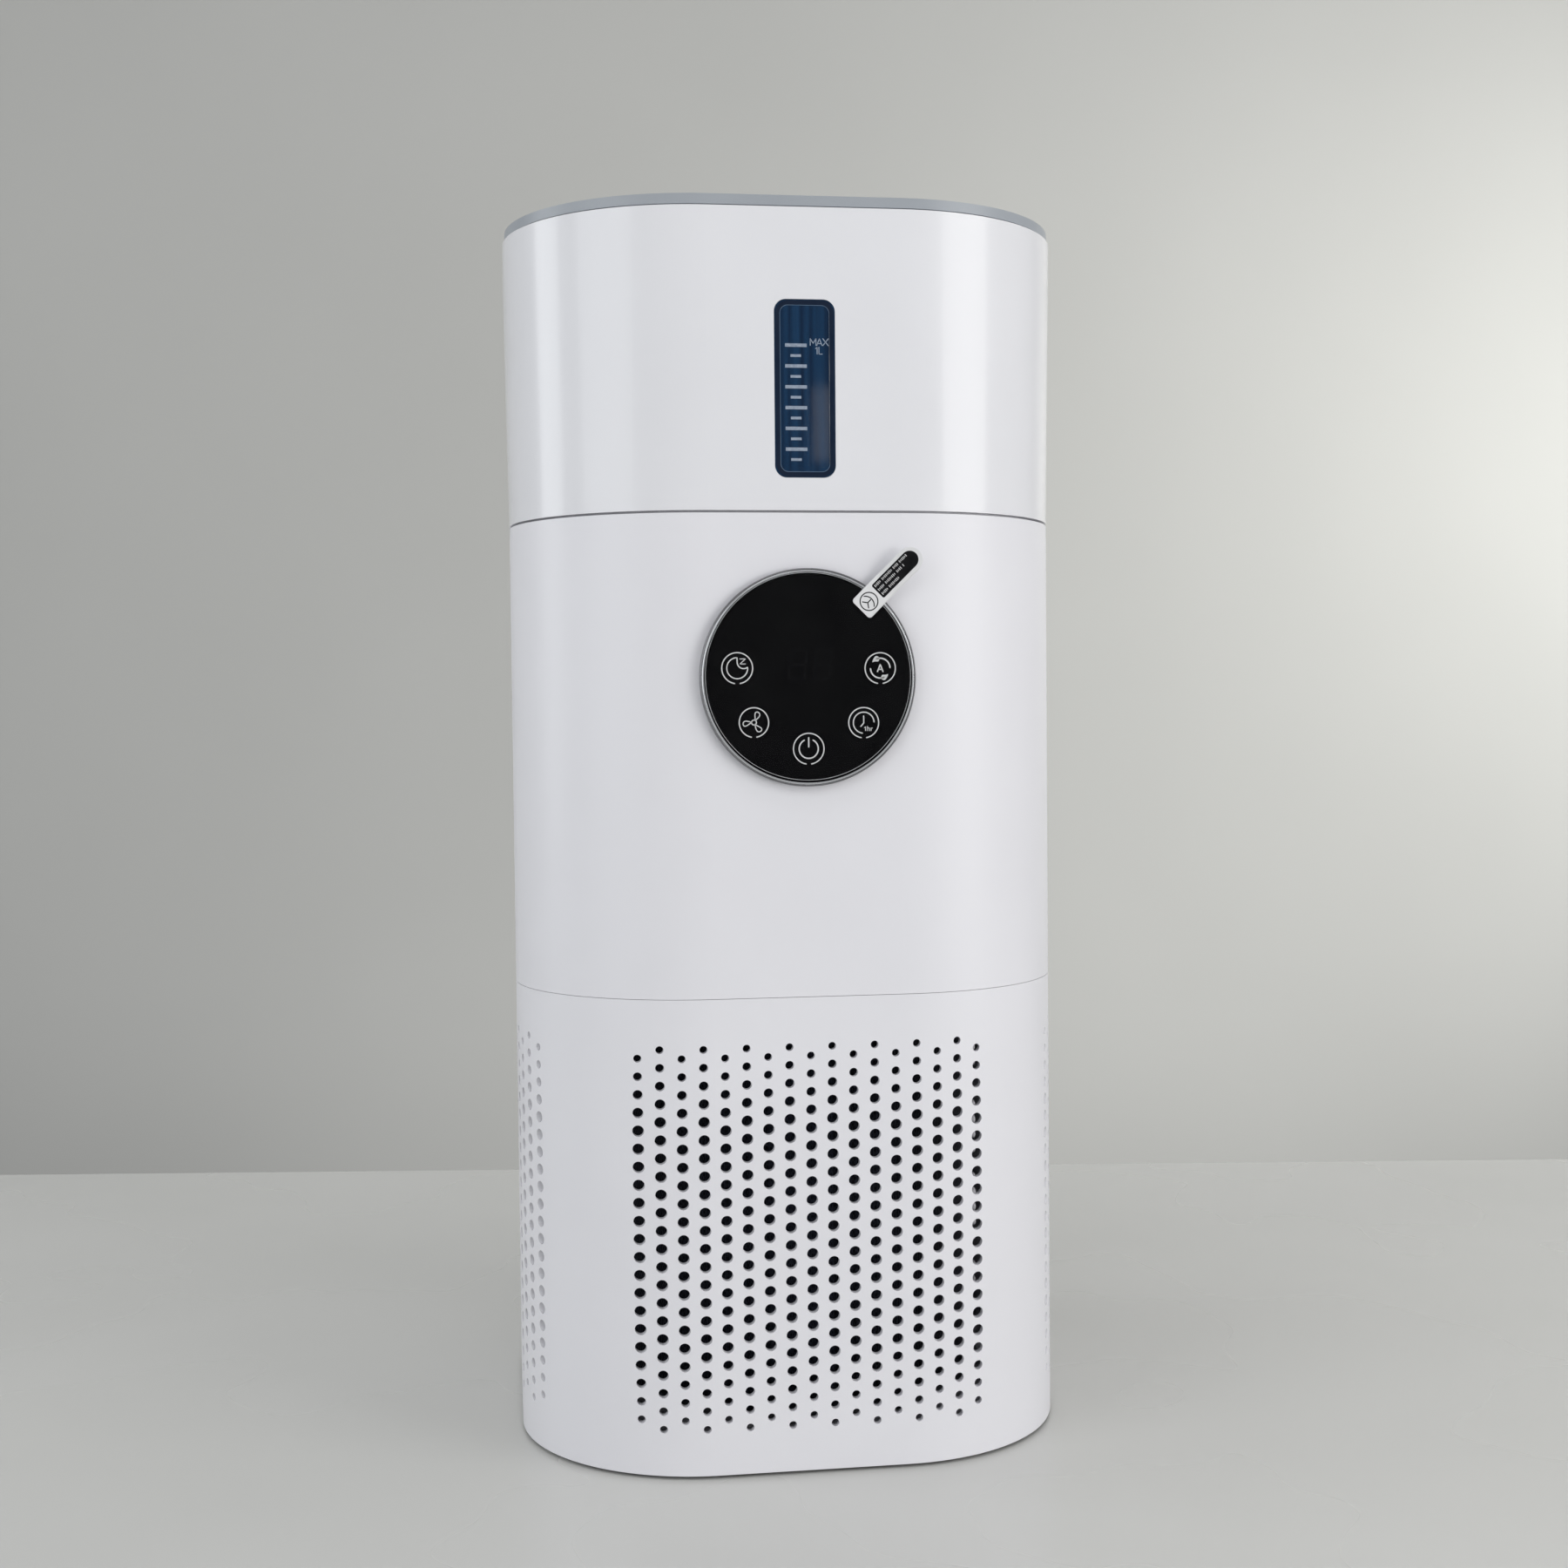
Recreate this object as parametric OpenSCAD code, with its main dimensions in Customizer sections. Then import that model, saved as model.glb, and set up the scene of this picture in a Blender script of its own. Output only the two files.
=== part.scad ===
// Air purifier with an evaporative humidifier tank on top.
// A square column with round corners: a perforated base round the filter, a
// middle housing with the fan and the touch panel, and a lift-off water tank.
// The front faces -Y, and the origin is the centre of the footprint.

/* [Body] */
// Width and depth of the square body
body_w = 191.2; // [186:0.2:200]
// Radius of the body's vertical corners
corner_r = 63.7; // [61:0.1:68]
// Wall of the base and middle housings
wall = 2.6; // [2:0.1:3.2]
// Height of the seam between base and middle housing
base_h = 159.2; // [158:0.1:164]
// Height of the dark gap under the tank
split_z = 318.5; // [316:0.1:330]
// Width of the hairline seam above the base
seam_gap = 0.15; // [0.1:0.05:0.6]
// Width of the gap under the tank
split_gap = 0.8; // [0.4:0.1:1.4]
// Play between parts that slide into each other
play = 0.3; // [0.2:0.05:0.5]
// Rubber foot height below the housing
foot_h = 1.2; // [0.8:0.1:2]

/* [Perforation] */
// Columns of holes on the front and the back
front_cols = 17; // [9:2:17]
// Columns of holes on each side
side_cols = 18; // [8:2:18]
// Plain wall above and below the hole field
hole_margin = 16.5; // [16:0.1:20]
// Spacing of the columns along the wall
hole_dx = 7.12; // [6.4:0.02:7.4]
// Spacing of the holes up a column
hole_dz = 6; // [5.4:0.1:6.2]
// Diameter of a full hole
hole_d = 3.8; // [2.6:0.1:4]
// Diameter of the last hole in a column
hole_end_d = 2.6; // [1.6:0.1:2.8]

/* [Filter and cover] */
// Outer radius of the filter
filter_r = 71.2; // [64:0.1:71.4]
// Radius of the clean-air core in the filter
filter_core_r = 44; // [40:0.5:48]
// Height of the filter's underside over the table
filter_z = 12.5; // [12.3:0.1:16]
// Pleats in the filter medium
filter_pleats = 56; // [36:2:72]
// Radius of the opening that the bottom cover closes
cover_r = 77; // [76.5:0.1:78]
// Turn that frees the bottom cover, in degrees
cover_turn = 30; // [26:1:34]

/* [Fan] */
// Radius of the impeller
impeller_r = 66; // [60:0.5:68]
// Height of the impeller
impeller_h = 40; // [36:0.5:42]
// Blades on the impeller
blade_count = 11; // [7:1:15]
// Radius of the impeller's inlet
inlet_r = 42; // [38:0.5:43]
// Inner radius of the fan housing round the impeller
housing_r = 80; // [78:0.5:80.5]
// Motor can radius
motor_r = 27; // [24:0.5:28]
// Motor can height
motor_h = 27; // [24:0.5:30]
// Motor shaft radius
shaft_r = 2.5; // [2:0.1:3]
// Running clearance of the shaft, radial
shaft_play = 0.05; // [0.02:0.01:0.08]
// Guide vanes over the impeller
vane_count = 9; // [6:1:12]
// Inner radius of the outlet duct
duct_r = 39; // [36:0.5:40]

/* [Touch panel] */
// Height of the panel's centre
panel_z = 264.3; // [250:0.1:268]
// Outer radius of the bright ring
panel_r = 35.6; // [32:0.1:36.5]
// Radius of the glass
glass_r = 34; // [30.5:0.1:34.4]
// Distance that the ring stands proud of the housing
panel_proud = 3; // [2.2:0.1:4]
// Radius on which the touch symbols lie
touch_ring_r = 23.5; // [20:0.1:24.5]
// Length of the film's pull tab
tab_l = 25.5; // [20:0.5:30]
// Width of the tab's foot on the glass
tab_foot_w = 9; // [7:0.1:11]
// Width of the tab's free strip
tab_strip_w = 7.2; // [5:0.1:8]
// Distance that the tab's tip stands off
tab_rise = 2.6; // [0.6:0.1:3]

/* [Tank] */
// Height of the tank's white rim
tank_top_z = 416.8; // [410:0.1:424]
// Tank wall
tank_wall = 2.4; // [2:0.1:2.8]
// How far the tank leans out from bottom to rim
tank_lean = 1.3; // [0.6:0.1:1.8]
// Height of the tank floor's underside above the gap
seat_h = 10; // [8:0.1:12]
// Radius of the air chimney in the tank
chimney_r = 47; // [45.6:0.1:48]
// Distance from the chimney's top up to the tank's rim
chimney_drop = 22.8; // [20:0.2:26]
// Width of the level window
window_w = 20.1; // [16:0.1:24]
// Height of the level window as a share of the tank's height
window_share = 0.587; // [0.5:0.001:0.62]
// Corner radius of the level window
window_corner = 4; // [2:0.1:5]
// Height of the window's centre in the tank, as a share of the tank's height
window_at = 0.405; // [0.38:0.001:0.44]

/* [Outlet grille and wick] */
// Thickness of the blue-grey cap
cap_t = 3.8; // [3:0.1:5]
// Distance that the cap sits in from the tank's rim
cap_inset = 0.7; // [0.3:0.1:1.5]
// Width of an air slot
slot_w = 3.8; // [3:0.1:3.9]
// Width of the bar between two slots
bar_w = 3.4; // [2.6:0.1:4]
// Rings of slots
slot_rings = 6; // [3:1:6]
// Outer radius of the wick
wick_r = 84; // [78:0.5:85]
// Radial depth of the wick
wick_depth = 17; // [12:0.5:20]
// Pleats in the wick
wick_pleats = 60; // [40:2:80]

/* [Hidden] */
$fn = 96;

// Overlap that joins pieces of one solid, and how far cuts run past a face.
join = 0.2;
past = 1;

// Plan: the straight part of each side and the corner arcs.
half_w = body_w / 2;
flat_half = half_w - corner_r;
inner_r = corner_r - wall;

// Base: the plate sits a little inside the housing's bottom edge.
shell_z = foot_h;
base_top_z = base_h - seam_gap / 2;
mid_bottom_z = base_h + seam_gap / 2;
plate_z = shell_z + 0.8;
plate_t = 3;
plate_top_z = plate_z + plate_t;
foot_r = 6;
foot_sink = 1.6;
foot_wall = 0.7;
post_r = 4.6;
post_z = plate_top_z + 3;
post_in = 6.9;
post_reach = flat_half + (inner_r - post_in) * cos(45);
post_web_t = 2;
side_post_a = 20;
side_post_in = 5.6;
side_post_h = 24;
side_web_h = 12;
side_web_gap = 6;

// Hole field: short and long columns take turns, and the ends are smaller.
short_col = floor((base_h - 2 * hole_margin) / hole_dz);
hole_mid_z = base_h / 2 + 0.1;
end_holes = 4;

// Fan deck: the plate that closes the filter bay.
deck_t = 3;
deck_z = base_h - 13.2;
deck_top_z = deck_z + deck_t;
mouth_foot = 7;
mouth_root = 3.4;
mouth_wall = 1.6;
guard_t = 2;
guard_bar = 1.8;
guard_rim = 3;
guard_pitch = 8;
guard_lip = 5;

// Self-tapping screws, one size throughout.
screw_r = 1.45;
screw_gap = 0.05;
screw_hole_r = 1.75;
screw_head_r = 3;
screw_head_h = 1.7;
screw_bite = 10;

// Bottom cover and its quarter-turn lugs.
cover_t = 1.4;
cover_rim_r = cover_r - 3.1;
cover_rim_h = 5;
ledge_r = cover_r - 2.8;
ledge_z = plate_z + cover_t + 0.2;
ledge_t = 2;
lug_z = ledge_z + ledge_t + 0.2;
lug_t = 2.4;
lug_angle = 24;
lug_count = 3;
notch_angle = lug_angle + 6;
neck_h = lug_z + lug_t + 1.2 - plate_z;
neck_wall = 2.4;
lug_stop = 1;
lug_stop_a = 4;
lug_reach = 8;
rim_wall = 2;
carry_r = filter_core_r + 16;
carry_wall = 2.4;
grip_wall = 1.6;
grip_r = 28;
grip_depth = 9;
grip_bar_w = 9;

// Filter.
seal_t = 4;
seal_w = 8;
seal_in = 2;
filter_h = deck_z - seal_t - filter_z;
cap_ring_t = 3;
filter_top_z = filter_z + filter_h;
sleeve_t = 0.9;
carbon_t = 8;
pleat_gap = 0.4;
pleat_t = 1.5;
pleat_root = 2;
pleat_root_t = 1.3;
strap_w = 18;
strap_l = 20;
strap_t = 0.8;

// Fan.
impeller_z = deck_top_z + 8;
impeller_top_z = impeller_z + impeller_h;
mouth_top_z = impeller_z + 0.8;
motor_floor_z = impeller_top_z + 4.5;
motor_floor_t = 2;
motor_z = motor_floor_z + motor_floor_t;
motor_top_z = motor_z + motor_h;
hub_wall = 2;
hub_r = motor_r + play + hub_wall;
vane_h = 24;
vane_t = 1.6;
vane_set = 0.5;
vane_ring_t = 1.8;
vane_bend_r = 0.62 * housing_r;
vane_lead = 0.2 * housing_r;
vane_rise = 0.0875 * housing_r;
vane_low = 0.15 * housing_r;
cup_hole_r = 8;
motor_screw_at = 16.7;
motor_screw_l = 5;
housing_wall = 2;
vane_top_z = motor_floor_z + vane_h;
cone_z = vane_top_z + 4;
cone_top_z = cone_z + 34;
vane_stop = 1.5;
foot_pad_r = 4.6;
foot_pad_t = 3;
foot_pad_a = 8;
foot_pad_in = 0.6;

// Motor.
bearing_r = 5.5;
bearing_h = 4;
can_wall = 1.5;
can_floor = 6.5;
bell_t = 2;
bell_boss_h = 7;
bell_lip_h = 2;
bearing_seat = 1.5;
stack_h = 11;
yoke_t = 3.5;
pole_count = 9;
pole_w = 3.2;
shoe_w = 7.2;
shoe_t = 1.8;
magnet_r = 13.5;
air_gap = 1.5;
shaft_set = 0.5;
magnet_gap = 0.5;
collar_flange_r = shaft_r + 1.2;
collar_flange_h = 1.2;
nut_r = 4;
nut_h = 3.5;

// Impeller: the hub's boss, and the plates' thickness.
boss_r = 8;
boss_h = 22;
nut_z = impeller_top_z - boss_h - nut_h;
hub_plate_t = 2;
hub_dish = 16;
shroud_t = 1.5;
shroud_rise = 7;
blade_bend_r = 0.7 * impeller_r;
blade_t = 1.6;
blade_at = [inlet_r - 26, blade_bend_r - 10];
blade_in = 12;
blade_low = 22;
blade_span = 62;

// Middle housing and its raised seat for the tank.
mid_top_z = split_z - split_gap / 2;
tank_bottom_z = split_z + split_gap / 2;
seat_z = split_z + seat_h;
seat_t = 2.5;
seat_x = corner_r - tank_wall - 3 * play;
seat_wall = 2.2;
flange_t = 2.5;
tongue_t = 1.5;
tongue_h = 4;
tongue_root = 5;

// Duct from the fan housing's cone up through the seat. A wider collar at its
// top keeps water out, and the guard rests on the step inside it.
duct_out_r = duct_r + 2.4;
duct_lip_r = duct_out_r + play + 1.8;
duct_lip_h = 6;
duct_guard_z = seat_z - guard_t - 0.6;
collar_r = duct_out_r + 1.8;
collar_top_z = seat_z + 9;
duct_seal_w = 4;
duct_seal_r = chimney_r + 3;
duct_seal_t = 1;

// Touch panel, measured outwards from the housing's front face.
ring_foot_r = glass_r - 2;
glass_t = 2;
glass_back = 0.8;
film_t = 0.3;
tab_t = 0.4;
tab_corner = 1.6;
tab_root_r = 29.3;
tab_root_a = 51.3;
tab_a = 40;
tab_foot_l = 8.6;
tab_bend = 9;
bevel = 0.6;
ring_gap = 0.25;
carrier_r = glass_r - 1.2;
carrier_depth = 9;
carrier_wall = 1.6;
carrier_lip = 2.2;
carrier_lip_t = 1.8;
board_t = 1.6;
board_back = -wall - carrier_depth + carrier_wall;
spring_r = 4;
touch_angles = [173, 219, 270, 320, 6.5];
digits_w = 26;
digits_h = 12;
digits_low = 5;

// Control board on the rear wall, its parts, the socket and the dust sensor.
rear_post_l = 10;
rear_post_r = 3;
board_y = half_w - wall - rear_post_l;
board_w = 52;
board_h = 36;
board_hole_in = 4;
coil_r = 4;
coil_h = 9;
relay = [12, 5, 10];
chip = [9, 2, 9];
board_screw_l = 5;
socket_z = cone_z + 14;
socket_r = 5.4;
socket_body = [13, 14, 11];
socket_hole_r = 2.8;
socket_pin_r = 1;
socket_hole_l = 9;
board_gap = 4;
board_z = socket_z + socket_body[2] / 2 + board_gap + board_h / 2;
sensor = [11, 30, 24];
sensor_post_l = 7.2;
sensor_post_r = 2.5;
sensor_post_y = 9;
corner_reach = flat_half * sqrt(2) + inner_r;
sensor_at = corner_reach - sensor_post_l;
sensor_z = mid_bottom_z + 14;

// Tank.
tank_lean_a = atan(tank_lean / (tank_top_z - tank_bottom_z));
tank_floor_t = 2.6;
tank_floor_z = seat_z + tank_floor_t;
chimney_wall = 2.2;
chimney_bore_r = chimney_r - chimney_wall;
chimney_top_z = tank_top_z - chimney_drop;
window_h = window_share * (tank_top_z - split_z);
window_z = split_z + window_at * (tank_top_z - split_z);
pane_set = 0.1;
pane_seat = 1.5;
pane_rim = 1.8;
gasket_t = 0.3;

// Outlet grille and wick.
cap_top_z = tank_top_z + cap_t;
cap_skirt_h = 8;
cap_skirt_t = 1.6;
cap_line_h = 0.5;
cap_line_in = 0.9;
slot_first = 9;
hub_disc_r = 12;
spoke_w = 4.2;
spoke_step = 22.5;
wick_z = tank_floor_z + 0.9;
wick_ring_t = 2.5;
wick_top_z = cap_top_z - 20;
wick_bar_t = 2.2;
wick_bar_w = 2.8;
wick_fold_gap = 0.5;
wick_fold_t = 1.8;
wick_root = 5;
wick_root_t = 1.8;
stud_r = 2.2;
stud_wall = 1.4;
stud_count = 4;

// Outlines of the hub's curved face and of the shroud's inner face.
eye_r = inlet_r + 3.5;
hub_face = [for (i = [0:10]) let (t = i / 10)
  [boss_r + (impeller_r - boss_r) * t, impeller_top_z - hub_plate_t - hub_dish * pow(1 - t, 2)]];
shroud_face = [for (i = [0:6]) let (t = i / 6)
  [eye_r + (impeller_r - eye_r) * t, impeller_z + shroud_t + shroud_rise * sqrt(t)]];

// Section of the middle housing's wall, with the tongue in the base at its
// foot and the raised seat for the tank at its top.
mid_section = [
  [corner_r, mid_bottom_z], [corner_r, mid_top_z], [seat_x, mid_top_z], [seat_x, seat_z],
  [seat_x - seat_wall, seat_z], [seat_x - seat_wall, mid_top_z - flange_t],
  [inner_r, mid_top_z - flange_t], [inner_r, mid_bottom_z + tongue_root],
  [inner_r - play - tongue_t, mid_bottom_z + tongue_root - tongue_t],
  [inner_r - play - tongue_t, mid_bottom_z - tongue_h],
  [inner_r - play, mid_bottom_z - tongue_h], [inner_r - play, mid_bottom_z]];

// Section of the tank's leaning wall.
tank_section = [
  [corner_r, tank_bottom_z], [corner_r + tank_lean, tank_top_z],
  [corner_r + tank_lean - tank_wall, tank_top_z], [corner_r - tank_wall, tank_bottom_z]];

// Half-width of the tank's outside at a height.
function tank_half(z) = half_w + tank_lean * (z - tank_bottom_z) / (tank_top_z - tank_bottom_z);

// A point on the circle of radius r at angle a.
function polar(r, a) = [r * cos(a), r * sin(a)];

// A ring of points alternating between two radii, one pair for each pleat.
function zigzag(n, ro, ri) = [for (i = [0:2 * n - 1]) polar(i % 2 == 0 ? ro : ri, 180 * i / n)];

// ---- shared shapes ----

// The body's plan, grown by x on every side.
module plan(x = 0) {
  r = corner_r + x;
  square([2 * flat_half, 2 * (half_w + x)], center = true);
  square([2 * (half_w + x), 2 * flat_half], center = true);
  for (sx = [-1, 1], sy = [-1, 1]) translate([sx * flat_half, sy * flat_half]) circle(r);
}

// A plate with the body's plan.
module plate(z, t, x = 0) {
  translate([0, 0, z]) linear_extrude(t) plan(x);
}

// Sweeps a wall's section round the plan. The section's x is the distance out
// from the centre of the corner arc, and its y is the height.
module round_the_plan() {
  for (q = [0:3]) rotate([0, 0, 90 * q]) translate([flat_half, flat_half, 0]) {
    rotate_extrude(angle = 90) children();
    rotate([90, 0, 0]) linear_extrude(2 * flat_half) children();
  }
}

// A ring about the vertical axis.
module ring(ro, ri, z, h) {
  translate([0, 0, z]) difference() {
    cylinder(r = ro, h = h);
    translate([0, 0, -past]) cylinder(r = ri, h = h + 2 * past);
  }
}

// A block that fills the angles from a0 to a1 out to radius r.
module wedge(a0, a1, r, z, h) {
  translate([0, 0, z]) linear_extrude(h) polygon([[0, 0], for (i = [0:3]) polar(r, a0 + (a1 - a0) * i / 3)]);
}

// Puts its children on the four corner posts.
module on_posts(z) {
  for (q = [0:3]) rotate([0, 0, 90 * q]) translate([post_reach, post_reach, z]) children();
}

// Puts its children on the four posts beside the corners.
module on_side_posts(z) {
  at = polar(inner_r - side_post_in, side_post_a);
  for (q = [0:3]) rotate([0, 0, 90 * q]) translate([flat_half + at[0], flat_half + at[1], z]) children();
}

// A screw with its head below and its tip up, head seated at z = 0.
module screw_up(length) {
  translate([0, 0, -screw_head_h]) cylinder(r = screw_head_r, h = screw_head_h);
  cylinder(r = screw_r, h = length);
}

// Puts its children on the housing's front face: x right, y up, z outward.
module on_front(z) {
  translate([0, -half_w, z]) rotate([90, 0, 0]) children();
}

// The same on the tank's leaning front.
module on_tank_front(z) {
  translate([0, -tank_half(z), z]) rotate([90 + tank_lean_a, 0, 0]) children();
}

// A rounded rectangle in the plane.
module round_rect(w, h, r) {
  square([w - 2 * r, h], center = true);
  square([w, h - 2 * r], center = true);
  for (sx = [-1, 1], sy = [-1, 1]) translate([sx * (w / 2 - r), sy * (h / 2 - r)]) circle(r);
}

// ---- base ----

// Drills one face's field of holes, in staggered columns pulled straight out
// of the mould, so they stay parallel where the wall curves away.
module hole_field(cols) {
  for (c = [0:cols - 1]) {
    x = (c - (cols - 1) / 2) * hole_dx;
    over = max(0, abs(x) - flat_half);
    skin_y = flat_half + sqrt(inner_r * inner_r - over * over);
    deep = flat_half + sqrt(corner_r * corner_r - over * over) - skin_y;
    n = short_col + c % 2;
    for (j = [0:n - 1]) {
      e = min(j, n - 1 - j);
      d = e >= end_holes ? hole_d : hole_end_d + (hole_d - hole_end_d) * e / end_holes;
      translate([x, 2 * past - skin_y, hole_mid_z + (j - (n - 1) / 2) * hole_dz]) rotate([90, 0, 0])
        cylinder(d = d, h = deep + 4 * past);
    }
  }
}

module base_shell() color("white") difference() {
  union() {
    round_the_plan() translate([inner_r, shell_z]) square([wall, base_top_z - shell_z]);
    on_posts(post_z) cylinder(r = post_r, h = deck_z - post_z);
    on_posts(post_z) rotate([0, 0, 45]) translate([0, -post_web_t / 2, 0])
      cube([post_in + join, post_web_t, deck_z - post_z]);
  }
  on_posts(post_z - past) cylinder(r = screw_r + screw_gap, h = screw_bite + 2 * past);
  on_posts(deck_z - screw_bite - past) cylinder(r = screw_r + screw_gap, h = screw_bite + 2 * past);
  hole_field(front_cols);
  rotate([0, 0, 180]) hole_field(front_cols);
  for (m = [0, 1]) mirror([m, 0, 0]) rotate([0, 0, 90]) hole_field(side_cols);
}

// Floor of the base, with the neck and the ledges that hold the bottom cover.
module base_plate() color("white") difference() {
  union() {
    difference() {
      plate(plate_z, plate_t, -wall - play);
      translate([0, 0, plate_z - past]) cylinder(r = cover_r, h = plate_t + 2 * past);
    }
    ring(cover_r + neck_wall, cover_r, plate_z, neck_h);
    on_posts(plate_z) cylinder(r = foot_r + foot_wall, h = post_z - plate_z);
    intersection() {
      ring(cover_r + join, ledge_r, ledge_z, ledge_t);
      for (k = [0:lug_count - 1])
        wedge(360 / lug_count * k - cover_turn + notch_angle / 2,
              360 / lug_count * (k + 1) - cover_turn - notch_angle / 2, cover_r + lug_reach, ledge_z, ledge_t);
    }
    intersection() {
      ring(cover_r + join, ledge_r, lug_z - join, lug_t);
      for (k = [0:lug_count - 1])
        wedge(360 / lug_count * k + lug_angle / 2 + lug_stop,
              360 / lug_count * k + lug_angle / 2 + lug_stop + lug_stop_a,
              cover_r + lug_reach, lug_z - join, lug_t);
    }
  }
  on_posts(plate_z - past) cylinder(r = foot_r + screw_gap, h = foot_sink + past);
  on_posts(plate_z) cylinder(r = screw_head_r + play, h = foot_sink + screw_head_h + join);
  on_posts(plate_z) cylinder(r = screw_hole_r, h = post_z - plate_z + past);
}

module feet() color("dimgray") on_posts(0) cylinder(r = foot_r, h = plate_z + foot_sink);

module plate_screws() color("silver")
  on_posts(plate_z + foot_sink + screw_head_h + join)
    screw_up(post_z - plate_z - foot_sink - screw_head_h - join + screw_bite - 1);

// Cover under the filter, with three lugs and a sunk finger grip.
module bottom_cover() color("white") difference() {
  union() {
    translate([0, 0, plate_z]) cylinder(r = cover_r - play, h = cover_t);
    ring(cover_rim_r, cover_rim_r - rim_wall, plate_z, cover_t + cover_rim_h);
    translate([0, 0, plate_z]) cylinder(r = grip_r + grip_wall, h = grip_depth);
    ring(carry_r, carry_r - carry_wall, plate_z, filter_z - plate_z);
    intersection() {
      ring(cover_r - play, cover_rim_r - join, lug_z, lug_t);
      for (k = [0:lug_count - 1])
        wedge(360 / lug_count * k - lug_angle / 2, 360 / lug_count * k + lug_angle / 2,
              cover_r + lug_reach, lug_z, lug_t);
    }
  }
  difference() {
    translate([0, 0, plate_z - past]) cylinder(r = grip_r, h = grip_depth - cover_t + past);
    translate([-grip_bar_w / 2, -grip_r, plate_z - past]) cube([grip_bar_w, 2 * grip_r, grip_depth]);
  }
}

// ---- filter cartridge ----

module filter_media() color("ivory") translate([0, 0, filter_z + cap_ring_t])
  linear_extrude(filter_h - 2 * cap_ring_t) difference() {
    polygon(zigzag(filter_pleats, filter_r - sleeve_t - pleat_gap, filter_core_r + carbon_t + pleat_root));
    polygon(zigzag(filter_pleats, filter_r - sleeve_t - pleat_gap - pleat_t,
                   filter_core_r + carbon_t + pleat_root - pleat_root_t));
  }

module filter_top_ring() color("dimgray")
  ring(filter_r, filter_core_r - 2, filter_top_z - cap_ring_t, cap_ring_t);

module filter_seal() color("gray")
  ring(filter_r - seal_in, filter_r - seal_in - seal_w, filter_top_z, seal_t);

module filter_bottom_cap() color("dimgray")
  translate([0, 0, filter_z]) cylinder(r = filter_r, h = cap_ring_t);

module prefilter_sleeve() color([0.12, 0.14, 0.2])
  ring(filter_r, filter_r - sleeve_t, filter_z + cap_ring_t, filter_h - 2 * cap_ring_t);

module carbon_layer() color([0.1, 0.1, 0.1])
  ring(filter_core_r + carbon_t, filter_core_r, filter_z + cap_ring_t, filter_h - 2 * cap_ring_t);

// Ribbon under the filter that pulls it out of its bay.
module filter_strap() color("royalblue")
  translate([-strap_w / 2, filter_core_r - strap_l / 2, filter_z - strap_t]) cube([strap_w, strap_l, strap_t]);

// ---- fan ----

// Plate over the filter bay, with the fan's bell mouth.
module fan_deck() color("whitesmoke") difference() {
  union() {
    plate(deck_z, deck_t, -wall - play);
    rotate_extrude() polygon([
      [inlet_r, deck_top_z - join], [inlet_r + mouth_foot, deck_top_z - join],
      [inlet_r + mouth_root, deck_top_z + mouth_root], [inlet_r + mouth_wall, impeller_z - 1],
      [inlet_r + mouth_wall, mouth_top_z], [inlet_r, mouth_top_z]]);
  }
  translate([0, 0, deck_z - past]) cylinder(r = inlet_r, h = deck_t + 2 * past);
  translate([0, 0, deck_z - past]) cylinder(r = inlet_r + guard_lip, h = guard_t + past);
  on_posts(deck_z - past) cylinder(r = screw_hole_r, h = deck_t + 2 * past);
  on_side_posts(deck_z - past) cylinder(r = screw_hole_r, h = deck_t + 2 * past);
  housing_feet() translate([0, 0, -deck_t - past]) cylinder(r = screw_r + screw_gap, h = deck_t + 2 * past);
}

// Finger guard pressed into the deck from below.
module inlet_guard() color("dimgray") {
  guard(inlet_r + guard_lip - screw_gap, deck_z, 12);
  translate([0, 0, deck_z]) cylinder(r = 6, h = guard_t);
}

module deck_screws() color("silver") {
  on_posts(deck_top_z) mirror([0, 0, 1]) screw_up(deck_t + screw_bite - 1);
}

// Puts its children on the fan housing's four screw feet.
module housing_feet() {
  for (q = [0:3]) rotate([0, 0, 90 * q + foot_pad_a])
    translate([housing_r + housing_wall + foot_pad_r - foot_pad_in, 0, deck_top_z]) children();
}

// Bowl round the impeller and vanes, closing in to the duct's socket. A step
// stops the vane ring.
module fan_housing() color("whitesmoke") difference() {
  union() {
    rotate_extrude() polygon([
      [housing_r, deck_top_z], [housing_r + housing_wall, deck_top_z],
      [housing_r + housing_wall, cone_z], [duct_lip_r, cone_top_z],
      [duct_lip_r, cone_top_z + duct_lip_h], [duct_out_r + play, cone_top_z + duct_lip_h],
      [duct_out_r + play, cone_top_z], [duct_r, cone_top_z],
      [housing_r - vane_stop, cone_z], [housing_r - vane_stop, vane_top_z], [housing_r, vane_top_z]]);
    difference() {
      housing_feet() cylinder(r = foot_pad_r, h = foot_pad_t);
      translate([0, 0, deck_z]) cylinder(r = housing_r + housing_wall / 2, h = impeller_h);
    }
  }
  housing_feet() translate([0, 0, -past]) cylinder(r = screw_hole_r, h = foot_pad_t + 2 * past);
}

module housing_screws() color("silver")
  housing_feet() translate([0, 0, foot_pad_t]) mirror([0, 0, 1]) screw_up(foot_pad_t + deck_t - join);

module air_duct() color("whitesmoke") rotate_extrude() polygon([
  [duct_r, cone_top_z], [duct_out_r, cone_top_z], [duct_out_r, duct_guard_z - guard_t],
  [collar_r, duct_guard_z], [collar_r, collar_top_z], [duct_out_r, collar_top_z],
  [duct_out_r, duct_guard_z], [duct_r, duct_guard_z]]);

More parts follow.
